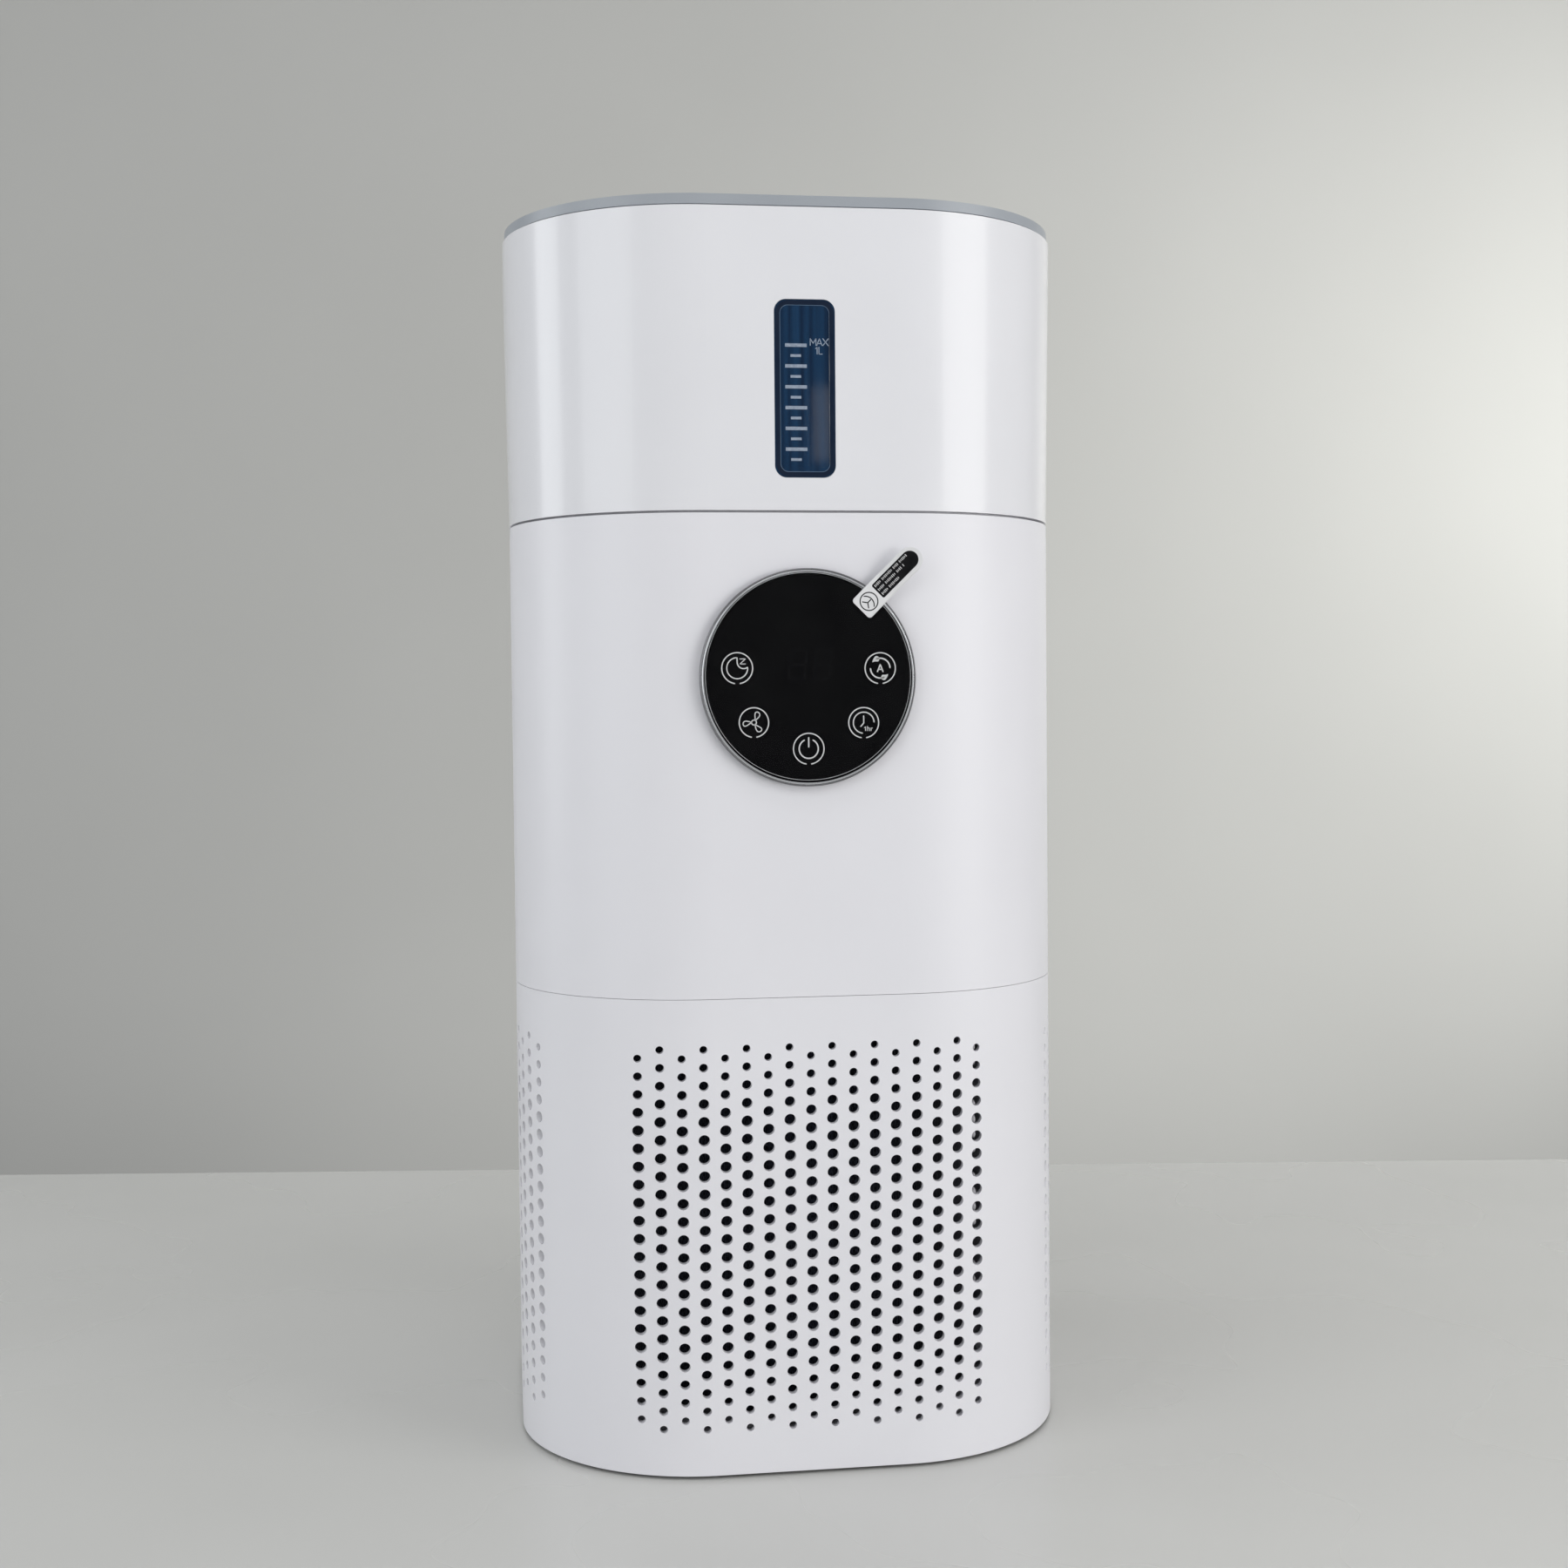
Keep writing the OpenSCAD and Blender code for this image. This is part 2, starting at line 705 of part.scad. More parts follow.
// One vane: a bent strip between the motor cup and the outer ring.
module vane() {
  translate([0, 0, motor_floor_z + vane_set]) linear_extrude(vane_h - 2 * vane_set) intersection() {
    difference() {
      circle(housing_r - vane_ring_t / 2);
      circle(hub_r - hub_wall / 2);
    }
    translate([hub_r + vane_lead, vane_rise - vane_bend_r]) difference() {
      circle(vane_bend_r + vane_t / 2);
      circle(vane_bend_r - vane_t / 2);
    }
    translate([hub_r - housing_r / 8, -vane_low]) square(housing_r);
  }
}

// Stationary vanes that straighten the air and carry the motor's cup.
module guide_vanes() color("whitesmoke") difference() {
  union() {
    rotate_extrude() translate([housing_r - play / 2 - vane_ring_t, motor_floor_z])
      square([vane_ring_t, vane_h]);
    rotate_extrude() polygon([
      [cup_hole_r, motor_floor_z], [hub_r, motor_floor_z], [hub_r, motor_floor_z + vane_h],
      [hub_r - hub_wall, motor_floor_z + vane_h], [hub_r - hub_wall, motor_z], [cup_hole_r, motor_z]]);
    for (k = [0:vane_count - 1]) rotate([0, 0, 360 / vane_count * k]) vane();
  }
  motor_screw_spots(motor_floor_z - past) cylinder(r = screw_hole_r, h = motor_floor_t + 2 * past);
}

// Puts its children on the motor's three screw holes.
module motor_screw_spots(z) {
  for (a = [30:120:270]) rotate([0, 0, a]) translate([motor_screw_at, 0, z]) children();
}

// ---- motor ----

// Cup with the lower bearing's seat in its floor.
module motor_can() color("silver") difference() {
  translate([0, 0, motor_z]) cylinder(r = motor_r, h = motor_h - bell_t);
  translate([0, 0, motor_z + can_floor]) cylinder(r = motor_r - can_wall, h = motor_h);
  translate([0, 0, motor_z - past]) cylinder(r = shaft_r + 1, h = motor_h);
  translate([0, 0, motor_z + bearing_seat]) cylinder(r = bearing_r, h = motor_h);
  motor_screw_spots(motor_z - past) cylinder(r = screw_r + screw_gap, h = motor_screw_l + 2 * past);
}

module motor_end_bell() color("silver") difference() {
  union() {
    translate([0, 0, motor_top_z - bell_t]) cylinder(r = motor_r, h = bell_t);
    translate([0, 0, motor_top_z - bell_boss_h]) cylinder(r = bearing_r + bearing_seat, h = bell_boss_h);
    ring(motor_r - can_wall - screw_gap, motor_r - 2 * can_wall, motor_top_z - bell_t - bell_lip_h,
         bell_lip_h + join);
  }
  translate([0, 0, motor_top_z - bell_boss_h - past]) {
    cylinder(r = bearing_r, h = bell_boss_h - bearing_seat + past);
    cylinder(r = shaft_r + 1, h = bell_boss_h + 2 * past);
  }
}

// Laminated ring with its poles.
module motor_stator() color("darkgoldenrod") translate([0, 0, motor_z + can_floor]) linear_extrude(stack_h) {
  difference() {
    circle(motor_r - can_wall - screw_gap);
    circle(motor_r - can_wall - yoke_t);
  }
  for (k = [0:pole_count - 1]) rotate([0, 0, 360 / pole_count * k]) {
    translate([magnet_r + air_gap + shoe_t / 2, -pole_w / 2])
      square([motor_r - can_wall - yoke_t - magnet_r - air_gap, pole_w]);
    translate([magnet_r + air_gap, -shoe_w / 2]) square([shoe_t, shoe_w]);
  }
}

module motor_bearings() color("lightsteelblue") {
  for (z = [motor_z + bearing_seat, motor_top_z - bearing_seat - bearing_h])
    ring(bearing_r - shaft_play, shaft_r + shaft_play, z, bearing_h);
}

module motor_screws() color("silver") motor_screw_spots(motor_floor_z) screw_up(motor_floor_t + motor_screw_l);

module motor_shaft() color("silver") {
  translate([0, 0, nut_z - shaft_set]) cylinder(r = shaft_r, h = motor_top_z - nut_z);
  translate([0, 0, impeller_top_z]) cylinder(r = collar_flange_r, h = collar_flange_h);
}

module motor_magnet() color("dimgray")
  ring(magnet_r, shaft_r, motor_z + can_floor + magnet_gap, stack_h);

module impeller_nut() color("silver") difference() {
  translate([0, 0, nut_z]) cylinder(r = nut_r, h = nut_h, $fn = 6);
  translate([0, 0, nut_z - past]) cylinder(r = shaft_r, h = nut_h + 2 * past);
}

// ---- impeller ----

// The space between the two faces, which bounds the blades.
module blade_space() {
  rotate_extrude() polygon(concat(
    [for (p = hub_face) if (p[0] > impeller_r / 2) [p[0], p[1] + join]],
    [for (i = [6:-1:0]) [shroud_face[i][0], shroud_face[i][1] - join]],
    [[inlet_r - mouth_foot, impeller_z + shroud_rise / 2]]));
}

module impeller() color("gainsboro") difference() {
  union() {
    rotate_extrude() polygon(concat(
      hub_face, [[impeller_r, impeller_top_z], [shaft_r, impeller_top_z],
      [shaft_r, impeller_top_z - boss_h], [boss_r, impeller_top_z - boss_h]]));
    rotate_extrude() polygon(concat(
      shroud_face, [for (i = [6:-1:0]) [shroud_face[i][0], shroud_face[i][1] - shroud_t]]));
    intersection() {
      for (k = [0:blade_count - 1]) rotate([0, 0, 360 / blade_count * k]) blade();
      blade_space();
    }
  }
  translate([0, 0, impeller_z - past]) cylinder(r = shaft_r, h = impeller_h + 2 * past);
}

// A backward-curved blade: a band between two arcs, cut to a sector.
module blade() {
  translate([0, 0, impeller_z]) linear_extrude(impeller_h) intersection() {
    translate(blade_at) difference() {
      circle(blade_bend_r + blade_t / 2);
      circle(blade_bend_r - blade_t / 2);
    }
    translate([inlet_r - blade_in, -blade_low]) square([impeller_r, blade_span]);
  }
}

// ---- middle housing ----

module mid_shell() color("white") difference() {
  union() {
    round_the_plan() polygon(mid_section);
    plate(seat_z - seat_t, seat_t, seat_x - corner_r - seat_wall / 2);
    on_side_posts(deck_top_z) cylinder(r = post_r, h = side_post_h);
    on_side_posts(mid_bottom_z + side_web_gap) rotate([0, 0, side_post_a]) translate([0, -post_web_t / 2, 0])
      cube([side_post_in + join, post_web_t, side_web_h]);
    rear_board_posts() cylinder(r = rear_post_r, h = rear_post_l + join);
    for (y = [-sensor_post_y, sensor_post_y]) rotate([0, 0, 135])
      translate([sensor_at, y, sensor_z + sensor[2] / 2]) rotate([0, 90, 0])
        cylinder(r = sensor_post_r, h = sensor_post_l);
  }
  translate([0, 0, seat_z - seat_t - past]) cylinder(r = collar_r + play, h = seat_t + 2 * past);
  ring(duct_seal_r + duct_seal_w, duct_seal_r, seat_z - duct_seal_t, duct_seal_t + past);
  on_side_posts(deck_top_z - past) cylinder(r = screw_r + screw_gap, h = screw_bite + past);
  on_front(panel_z) translate([0, 0, -wall - past]) cylinder(r = carrier_r + play, h = wall + 2 * past);
  rear_board_posts() translate([0, 0, -past]) cylinder(r = screw_r + screw_gap, h = board_screw_l + 2 * past);
  translate([0, half_w + past, socket_z]) rotate([90, 0, 0]) cylinder(r = socket_r + play, h = wall + 2 * past);
}

module shell_screws() color("silver") on_side_posts(deck_z) screw_up(deck_t + screw_bite - 1);

// Puts its children on the control board's four posts on the rear wall.
module rear_board_posts() {
  for (sx = [-1, 1], sz = [-1, 1])
    translate([sx * (board_w / 2 - board_hole_in), board_y, board_z + sz * (board_h / 2 - board_hole_in)])
      rotate([-90, 0, 0]) children();
}

module control_board() color("darkgreen") difference() {
  union() {
    translate([-board_w / 2, board_y - board_t, board_z - board_h / 2]) cube([board_w, board_t, board_h]);
    for (x = [-board_w / 5, board_w / 9]) translate([x, board_y - board_t - coil_h, board_z + board_h / 7])
      rotate([-90, 0, 0]) cylinder(r = coil_r, h = coil_h + join);
    translate([-board_w / 4, board_y - board_t - relay[1], board_z - board_h / 3]) cube(relay + [0, join, 0]);
    translate([board_w / 9, board_y - board_t - chip[1], board_z - board_h / 3]) cube(chip + [0, join, 0]);
  }
  rear_board_posts() translate([0, 0, -board_t - past]) cylinder(r = screw_hole_r, h = board_t + 2 * past);
}

module board_screws() color("silver")
  rear_board_posts() translate([0, 0, -board_t]) screw_up(board_t + board_screw_l);

// Barrel socket for the power lead, in the rear wall under the control board.
module power_inlet() color("black") difference() {
  union() {
    translate([0, half_w - wall - join, socket_z]) rotate([-90, 0, 0]) cylinder(r = socket_r, h = wall + join);
    translate([-socket_body[0] / 2, half_w - wall - socket_body[1], socket_z - socket_body[2] / 2])
      cube(socket_body);
  }
  translate([0, half_w - socket_hole_l, socket_z]) rotate([-90, 0, 0]) difference() {
    cylinder(r = socket_hole_r, h = socket_hole_l + past);
    translate([0, 0, -past]) cylinder(r = socket_pin_r, h = socket_hole_l);
  }
}

// Dust sensor in a rear corner, which the automatic mode reads.
module air_sensor() color("darkslategray") rotate([0, 0, 135])
  translate([sensor_at - sensor[0], -sensor[1] / 2, sensor_z]) cube(sensor);

// ---- touch panel ----

module panel_ring() color("silver") on_front(panel_z) rotate_extrude() polygon([
  [ring_foot_r, 0], [panel_r, 0], [panel_r, panel_proud - 1.5 * bevel],
  [panel_r - bevel / 2, panel_proud - bevel / 2],
  [panel_r - 1.4 * bevel, panel_proud], [panel_r - 2 * bevel, panel_proud],
  [glass_r + ring_gap, panel_proud - bevel],
  [glass_r + ring_gap, glass_back], [ring_foot_r, glass_back]]);

module panel_glass() color([0.03, 0.03, 0.04]) on_front(panel_z) rotate_extrude() polygon([
  [0, glass_back], [glass_r, glass_back], [glass_r, panel_proud - film_t - bevel],
  [glass_r - bevel, panel_proud - film_t], [0, panel_proud - film_t]]);

// Clear protective film on the glass.
module screen_film() color([0.8, 0.85, 0.9, 0.3]) on_front(panel_z)
  translate([0, 0, panel_proud - film_t]) cylinder(r = glass_r - bevel - 0.2, h = film_t);

// Pull tab of the film: a foot on the glass, and a strip aslant over the ring
// that bends up off it. Its side view bounds its plan.
module film_tab() color("whitesmoke") on_front(panel_z) rotate([0, 0, tab_root_a])
  translate([tab_root_r, 0, panel_proud]) rotate([0, 0, tab_a - tab_root_a]) intersection() {
    linear_extrude(tab_rise + 2 * tab_t) tab_plan();
    translate([0, tab_foot_w, 0]) rotate([90, 0, 0]) linear_extrude(2 * tab_foot_w) polygon([
      [0, 0], [tab_bend, 0], [tab_l, tab_rise], [tab_l, tab_rise + tab_t], [tab_bend, tab_t], [0, tab_t]]);
  }

module tab_plan() {
  translate([tab_foot_l / 2, 0]) round_rect(tab_foot_l, tab_foot_w, tab_corner);
  translate([tab_corner, tab_foot_w / 2 - tab_strip_w])
    square([tab_l - tab_strip_w / 2 - tab_corner, tab_strip_w]);
  translate([tab_l - tab_strip_w / 2, tab_foot_w / 2 - tab_strip_w / 2]) circle(tab_strip_w / 2);
}

module panel_carrier() color("whitesmoke") on_front(panel_z) difference() {
  union() {
    translate([0, 0, -wall - carrier_depth]) cylinder(r = carrier_r, h = wall + carrier_depth);
    translate([0, 0, -wall - play - carrier_lip_t]) cylinder(r = carrier_r + carrier_lip, h = carrier_lip_t);
  }
  translate([0, 0, -wall - carrier_depth + carrier_wall])
    cylinder(r = carrier_r - carrier_wall, h = wall + carrier_depth);
}

// Circuit board behind the glass, on the carrier's floor.
module display_board() color("darkgreen") on_front(panel_z) translate([0, 0, board_back])
  cylinder(r = carrier_r - carrier_wall - play, h = board_t);

module touch_springs() color("silver") on_front(panel_z)
  for (a = touch_angles) rotate([0, 0, a])
    translate([touch_ring_r, 0, board_back + board_t])
      cylinder(r = spring_r, h = glass_back - board_back - board_t);

module digit_display() color("black") on_front(panel_z)
  translate([-digits_w / 2, -digits_low, board_back + board_t])
    cube([digits_w, digits_h, glass_back - board_back - board_t]);

// ---- tank ----

// Seal between the middle housing and the tank's floor.
module duct_seal() color("lightgray")
  ring(duct_seal_r + duct_seal_w, duct_seal_r, seat_z - duct_seal_t, duct_seal_t);

// Rings on six spokes inside radius r, as a finger guard.
module guard(r, z, first) {
  ring(r, r - guard_rim, z, guard_t);
  for (k = [first:guard_pitch:r - 2 * guard_rim]) ring(k + guard_bar / 2, k - guard_bar / 2, z, guard_t);
  intersection() {
    translate([0, 0, z]) cylinder(r = r - guard_rim / 2, h = guard_t);
    for (a = [0:60:120]) rotate([0, 0, a]) translate([-r, -guard_bar / 2, z]) cube([2 * r, guard_bar, guard_t]);
  }
}

// Guard across the outlet duct, so that nothing falls on the fan.
module outlet_guard() color("dimgray") guard(duct_out_r - screw_gap, duct_guard_z, 8);

module tank_shell() color("white") difference() {
  union() {
    round_the_plan() polygon(tank_section);
    plate(seat_z, tank_floor_t, -tank_wall / 2);
    ring(chimney_r, chimney_bore_r, seat_z, chimney_top_z - seat_z);
  }
  translate([0, 0, seat_z - past]) cylinder(r = chimney_bore_r, h = tank_floor_t + 2 * past);
  on_tank_front(window_z) {
    translate([0, 0, -tank_wall - past]) linear_extrude(tank_wall + 2 * past)
      round_rect(window_w - 2 * pane_rim, window_h - 2 * pane_rim, window_corner - pane_rim);
    translate([0, 0, -pane_seat]) linear_extrude(pane_seat + past)
      round_rect(window_w, window_h, window_corner);
  }
}

// Clear pane: a plate in the wall's recess with a plug through the opening.
module tank_window() color([0.1, 0.2, 0.45, 0.6]) on_tank_front(window_z) {
  translate([0, 0, gasket_t - pane_seat]) linear_extrude(pane_seat - gasket_t - pane_set)
    round_rect(window_w - play, window_h - play, window_corner - play / 2);
  translate([0, 0, -tank_wall]) linear_extrude(tank_wall - pane_seat + gasket_t + join)
    round_rect(window_w - 2 * pane_rim - play, window_h - 2 * pane_rim - play,
               window_corner - pane_rim - play / 2);
}

module window_gasket() color("dimgray") on_tank_front(window_z)
  translate([0, 0, -pane_seat]) linear_extrude(gasket_t) difference() {
    round_rect(window_w - play, window_h - play, window_corner - play / 2);
    round_rect(window_w - 2 * pane_rim, window_h - 2 * pane_rim, window_corner - pane_rim);
  }

// ---- outlet grille and wick ----

// One slot that follows the plan, from inset a to inset b.
module slot_ring(a, b) {
  difference() {
    plan(-a);
    plan(-b);
  }
}

module outlet_grille() color([0.58, 0.63, 0.7]) {
  difference() {
    union() {
      plate(tank_top_z, cap_t, tank_lean - cap_inset - cap_line_in);
      plate(tank_top_z + cap_line_h, cap_t - cap_line_h, tank_lean - cap_inset);
    }
    translate([0, 0, tank_top_z - past]) linear_extrude(cap_t + 2 * past) difference() {
      for (k = [0:slot_rings - 1])
        slot_ring(slot_first + k * (slot_w + bar_w), slot_first + k * (slot_w + bar_w) + slot_w);
      for (a = [0:spoke_step:180 - spoke_step]) rotate([0, 0, a]) square([2 * body_w, spoke_w], center = true);
      circle(hub_disc_r);
    }
  }
  round_the_plan() translate([corner_r + tank_lean - tank_wall - play - cap_skirt_t, tank_top_z - cap_skirt_h])
    square([cap_skirt_t, cap_skirt_h + join]);
  wick_studs(tank_top_z + join, stud_r + stud_wall, tank_top_z - wick_top_z + join);
  wick_studs(wick_top_z + join, stud_r, wick_ring_t + join);
}

// Studs under the grille that plug into the wick's top ring.
module wick_studs(top_z, r, l) {
  for (q = [0:stud_count - 1]) rotate([0, 0, 360 / stud_count * q + 45])
    translate([wick_r - wick_depth / 2, 0, top_z - l]) cylinder(r = r, h = l);
}

module wick_frame() color("steelblue") difference() {
  union() {
    ring(wick_r, wick_r - wick_depth, wick_z, wick_ring_t);
    ring(wick_r, wick_r - wick_depth, wick_top_z - wick_ring_t, wick_ring_t);
    for (q = [0:7]) rotate([0, 0, 45 * q + 22.5])
      translate([wick_r - wick_depth, -wick_bar_w / 2, wick_z])
        cube([wick_bar_t, wick_bar_w, wick_top_z - wick_z]);
  }
  wick_studs(wick_top_z + past, stud_r + screw_gap, wick_ring_t + 2 * past);
}

module wick_media() color("royalblue") translate([0, 0, wick_z + wick_ring_t])
  linear_extrude(wick_top_z - wick_z - 2 * wick_ring_t) difference() {
    polygon(zigzag(wick_pleats, wick_r - wick_fold_gap, wick_r - wick_depth + wick_root));
    polygon(zigzag(wick_pleats, wick_r - wick_fold_gap - wick_fold_t,
                   wick_r - wick_depth + wick_root - wick_root_t));
  }

base_shell();
base_plate();
feet();
plate_screws();
fan_deck();
inlet_guard();
deck_screws();
fan_housing();
housing_screws();
air_duct();
guide_vanes();
motor_can();
motor_end_bell();
motor_stator();
motor_bearings();
motor_screws();
mid_shell();
shell_screws();
panel_ring();
panel_glass();
screen_film();
film_tab();
panel_carrier();
display_board();
touch_springs();
digit_display();
control_board();
board_screws();
power_inlet();
air_sensor();
duct_seal();
outlet_guard();
impeller();
motor_shaft();
motor_magnet();
impeller_nut();
filter_media();
filter_top_ring();
filter_seal();
filter_bottom_cap();
prefilter_sleeve();
carbon_layer();
filter_strap();
bottom_cover();
tank_shell();
tank_window();
window_gasket();
outlet_grille();
wick_frame();
wick_media();
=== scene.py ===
# Air purifier with a water tank on top: looks, stage and camera. Metres, front towards -Y.
import math

import bmesh
import bpy
import numpy as np
from mathutils import Matrix, Vector


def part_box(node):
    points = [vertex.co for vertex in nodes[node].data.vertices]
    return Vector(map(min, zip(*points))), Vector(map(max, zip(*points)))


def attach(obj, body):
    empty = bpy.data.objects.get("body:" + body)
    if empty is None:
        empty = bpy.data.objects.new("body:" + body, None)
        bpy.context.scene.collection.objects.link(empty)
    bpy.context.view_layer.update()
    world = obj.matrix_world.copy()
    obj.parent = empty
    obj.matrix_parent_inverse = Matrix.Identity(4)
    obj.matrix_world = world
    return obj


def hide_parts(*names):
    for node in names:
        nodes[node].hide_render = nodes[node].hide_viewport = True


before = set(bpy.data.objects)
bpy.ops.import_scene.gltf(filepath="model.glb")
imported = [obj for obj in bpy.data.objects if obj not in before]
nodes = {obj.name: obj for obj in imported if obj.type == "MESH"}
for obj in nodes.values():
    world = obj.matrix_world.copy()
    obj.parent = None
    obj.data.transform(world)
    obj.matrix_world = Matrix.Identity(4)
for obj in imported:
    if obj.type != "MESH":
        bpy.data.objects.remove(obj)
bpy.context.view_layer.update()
mm = 0.001
print("frame loaded:", len(nodes), "nodes")

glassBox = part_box("panel_glass")
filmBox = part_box("screen_film")
panelCentre = Vector(((glassBox[0].x + glassBox[1].x) / 2, 0, (glassBox[0].z + glassBox[1].z) / 2))


cameraSetup = {
    "place": (-0.09836, -0.75049, 0.25366),
    "turn": -7.847,      # degrees round the vertical, from straight ahead
    "tilt": -2.092,      # degrees up from level
    "roll": -0.564,
    "lens": 46.33,
}


def makeCamera(setup):
    data = bpy.data.cameras.new("camera")
    data.lens = setup["lens"]
    data.sensor_width = 36
    data.clip_start, data.clip_end = 0.01, 30
    camera = bpy.data.objects.new("camera", data)
    bpy.context.scene.collection.objects.link(camera)
    turn = Matrix.Rotation(math.radians(setup["turn"]), 4, "Z")
    tilt = Matrix.Rotation(math.radians(90 + setup["tilt"]), 4, "X")
    roll = Matrix.Rotation(math.radians(setup["roll"]), 4, "Z")
    camera.matrix_world = Matrix.Translation(setup["place"]) @ turn @ tilt @ roll
    bpy.context.scene.camera = camera


makeCamera(cameraSetup)
bpy.context.scene.view_settings.view_transform = "Standard"
print("camera placed")


def addMesh(name, points, faces, smooth=True):
    mesh = bpy.data.meshes.new(name)
    mesh.from_pydata(np.asarray(points).reshape(-1, 3).tolist(), [], [tuple(f) for f in faces])
    mesh.polygons.foreach_set("use_smooth", np.full(len(mesh.polygons), smooth))
    mesh.update()
    piece = bpy.data.objects.new(name, mesh)
    bpy.context.scene.collection.objects.link(piece)
    return piece


# Quads between neighbouring points of a rows x cols grid, wrapped round where it is closed.
def gridFaces(rows, cols, closeRows=False, closeCols=False, start=0):
    i, j = np.meshgrid(np.arange(rows if closeRows else rows - 1),
                       np.arange(cols if closeCols else cols - 1), indexing="ij")
    i, j = i.ravel(), j.ravel()
    nextRow, nextCol = (i + 1) % rows, (j + 1) % cols
    quads = [i * cols + j, nextRow * cols + j, nextRow * cols + nextCol, i * cols + nextCol]
    return np.stack(quads, 1) + start


# A surface given as points on a grid, shape (rows, cols, 3).
def gridSurface(name, grid, closeRows=False, closeCols=False):
    rows, cols = grid.shape[:2]
    return addMesh(name, grid, gridFaces(rows, cols, closeRows, closeCols))


# Angles once round a circle.
def fullTurn(count):
    return np.linspace(0, 2 * np.pi, count, endpoint=False)


# Points of radius r, angle a and height h round a centre, spread over one grid.
def roundGrid(r, a, h, centre=(0, 0)):
    return np.stack(np.broadcast_arrays(centre[0] + r * np.cos(a), centre[1] + r * np.sin(a), h), -1)


# Carries a closed profile of (radius, height) round the vertical: x = r cos a, y = r sin a.
def lathe(name, profile, turns=128):
    r, h = np.asarray(profile, float).T
    return gridSurface(name, roundGrid(r, fullTurn(turns)[:, None], h), True, True)


# Flat raised strokes. Each path is (points (n, 2), width or widths (n,), ends), with ends one of loop, round
# and square. A section of four corners, offset along the path's normal by half the width, follows the points,
# and a round end follows a half circle. Returns points (x, z, outward) and faces.
def strokeSolid(paths, height):
    quarter = np.linspace(0, np.pi / 2, 5)
    s, c = np.sin(quarter), np.maximum(np.cos(quarter), 0.05)
    allPoints, allFaces, start = [], [], 0
    for points, width, ends in paths:
        closed = ends == "loop"
        p = np.asarray(points, float)
        w = np.broadcast_to(np.asarray(width, float), (len(p),)).copy()
        if ends == "round":
            d0, d1 = p[0] - p[1], p[-1] - p[-2]
            d0, d1 = d0 / np.linalg.norm(d0), d1 / np.linalg.norm(d1)
            head = p[0] + d0 * (w[0] / 2) * s[:0:-1, None]
            tail = p[-1] + d1 * (w[-1] / 2) * s[1:, None]
            w = np.concatenate([w[0] * c[:0:-1], w, w[-1] * c[1:]])
            p = np.concatenate([head, p, tail])
        step = (np.roll(p, -1, 0) - np.roll(p, 1, 0)) if closed else np.gradient(p, axis=0)
        t = step / np.maximum(np.linalg.norm(step, axis=1, keepdims=True), 1e-9)
        n = np.stack([-t[:, 1], t[:, 0]], 1)
        side = n * w[:, None] / 2
        lo, hi = np.zeros(len(p)), np.full(len(p), height)
        left, right = p + side, p - side
        ring = np.stack([np.c_[left, lo], np.c_[left, hi], np.c_[right, hi], np.c_[right, lo]], 1)
        allPoints.append(ring.reshape(-1, 3))
        faces = gridFaces(len(p), 4, closed, True, start).tolist()
        if not closed:
            last = start + 4 * (len(p) - 1)
            faces += [[start, start + 1, start + 2, start + 3], [last + 3, last + 2, last + 1, last]]
        allFaces += faces
        start += 4 * len(p)
    return np.concatenate(allPoints), allFaces


# A sheet given as its two faces on one grid, closed round its middle line and at both side edges.
def closedSheet(name, grid):
    rows, cols = grid.shape[:2]
    faces = gridFaces(rows, cols, True, False).tolist()
    half = rows // 2
    i = np.arange(half - 1)
    for edge in (0, cols - 1):
        faces += (np.stack([i, i + 1, rows - 2 - i, rows - 1 - i], 1) * cols + edge).tolist()
    return addMesh(name, grid, faces)


# Turns a closed piece's faces outwards.
def fixNormals(piece):
    bm = bmesh.new()
    bm.from_mesh(piece.data)
    bmesh.ops.remove_doubles(bm, verts=bm.verts, dist=1e-7)
    bmesh.ops.recalc_face_normals(bm, faces=bm.faces)
    bm.to_mesh(piece.data)
    bm.free()
    return piece


# Points on a circle from angle a0 to a1, in degrees.
def arcPath(radius, a0, a1, centre=(0, 0), count=40):
    a = np.radians(np.linspace(a0, a1, count))
    return np.stack([centre[0] + radius * np.cos(a), centre[1] + radius * np.sin(a)], 1)


# Straight runs between corners, with a few points on each.
def linePath(*corners, count=6):
    c = np.asarray(corners, float)
    runs = [c[i] + (c[i + 1] - c[i]) * np.linspace(0, 1, count)[:, None] for i in range(len(c) - 1)]
    return np.concatenate([runs[0]] + [r[1:] for r in runs[1:]])


def newMaterial(name):
    material = bpy.data.materials.new(name)
    material.use_nodes = True
    tree = material.node_tree
    shader = tree.nodes["Principled BSDF"]
    coords = tree.nodes.new("ShaderNodeTexCoord")
    return material, tree, shader, coords


# Noise whose blobs are about size metres across, stretched along the axes.
def noiseNode(tree, coords, size, detail, stretch=(1, 1, 1)):
    place = tree.nodes.new("ShaderNodeMapping")
    place.inputs["Scale"].default_value = [1 / (size * s) for s in stretch]
    tree.links.new(coords.outputs["Object"], place.inputs["Vector"])
    noise = tree.nodes.new("ShaderNodeTexNoise")
    noise.inputs["Scale"].default_value = 1.0
    noise.inputs["Detail"].default_value = detail
    tree.links.new(place.outputs["Vector"], noise.inputs["Vector"])
    return noise


textureRange = (0.3, 0.7)      # where noise has most of its values


# Maps a texture to a roughness from low to high.
def glossFrom(tree, shader, source, low, high):
    spread = tree.nodes.new("ShaderNodeMapRange")
    spread.inputs["From Min"].default_value, spread.inputs["From Max"].default_value = textureRange
    spread.inputs["To Min"].default_value = low
    spread.inputs["To Max"].default_value = high
    tree.links.new(source, spread.inputs["Value"])
    tree.links.new(spread.outputs["Result"], shader.inputs["Roughness"])


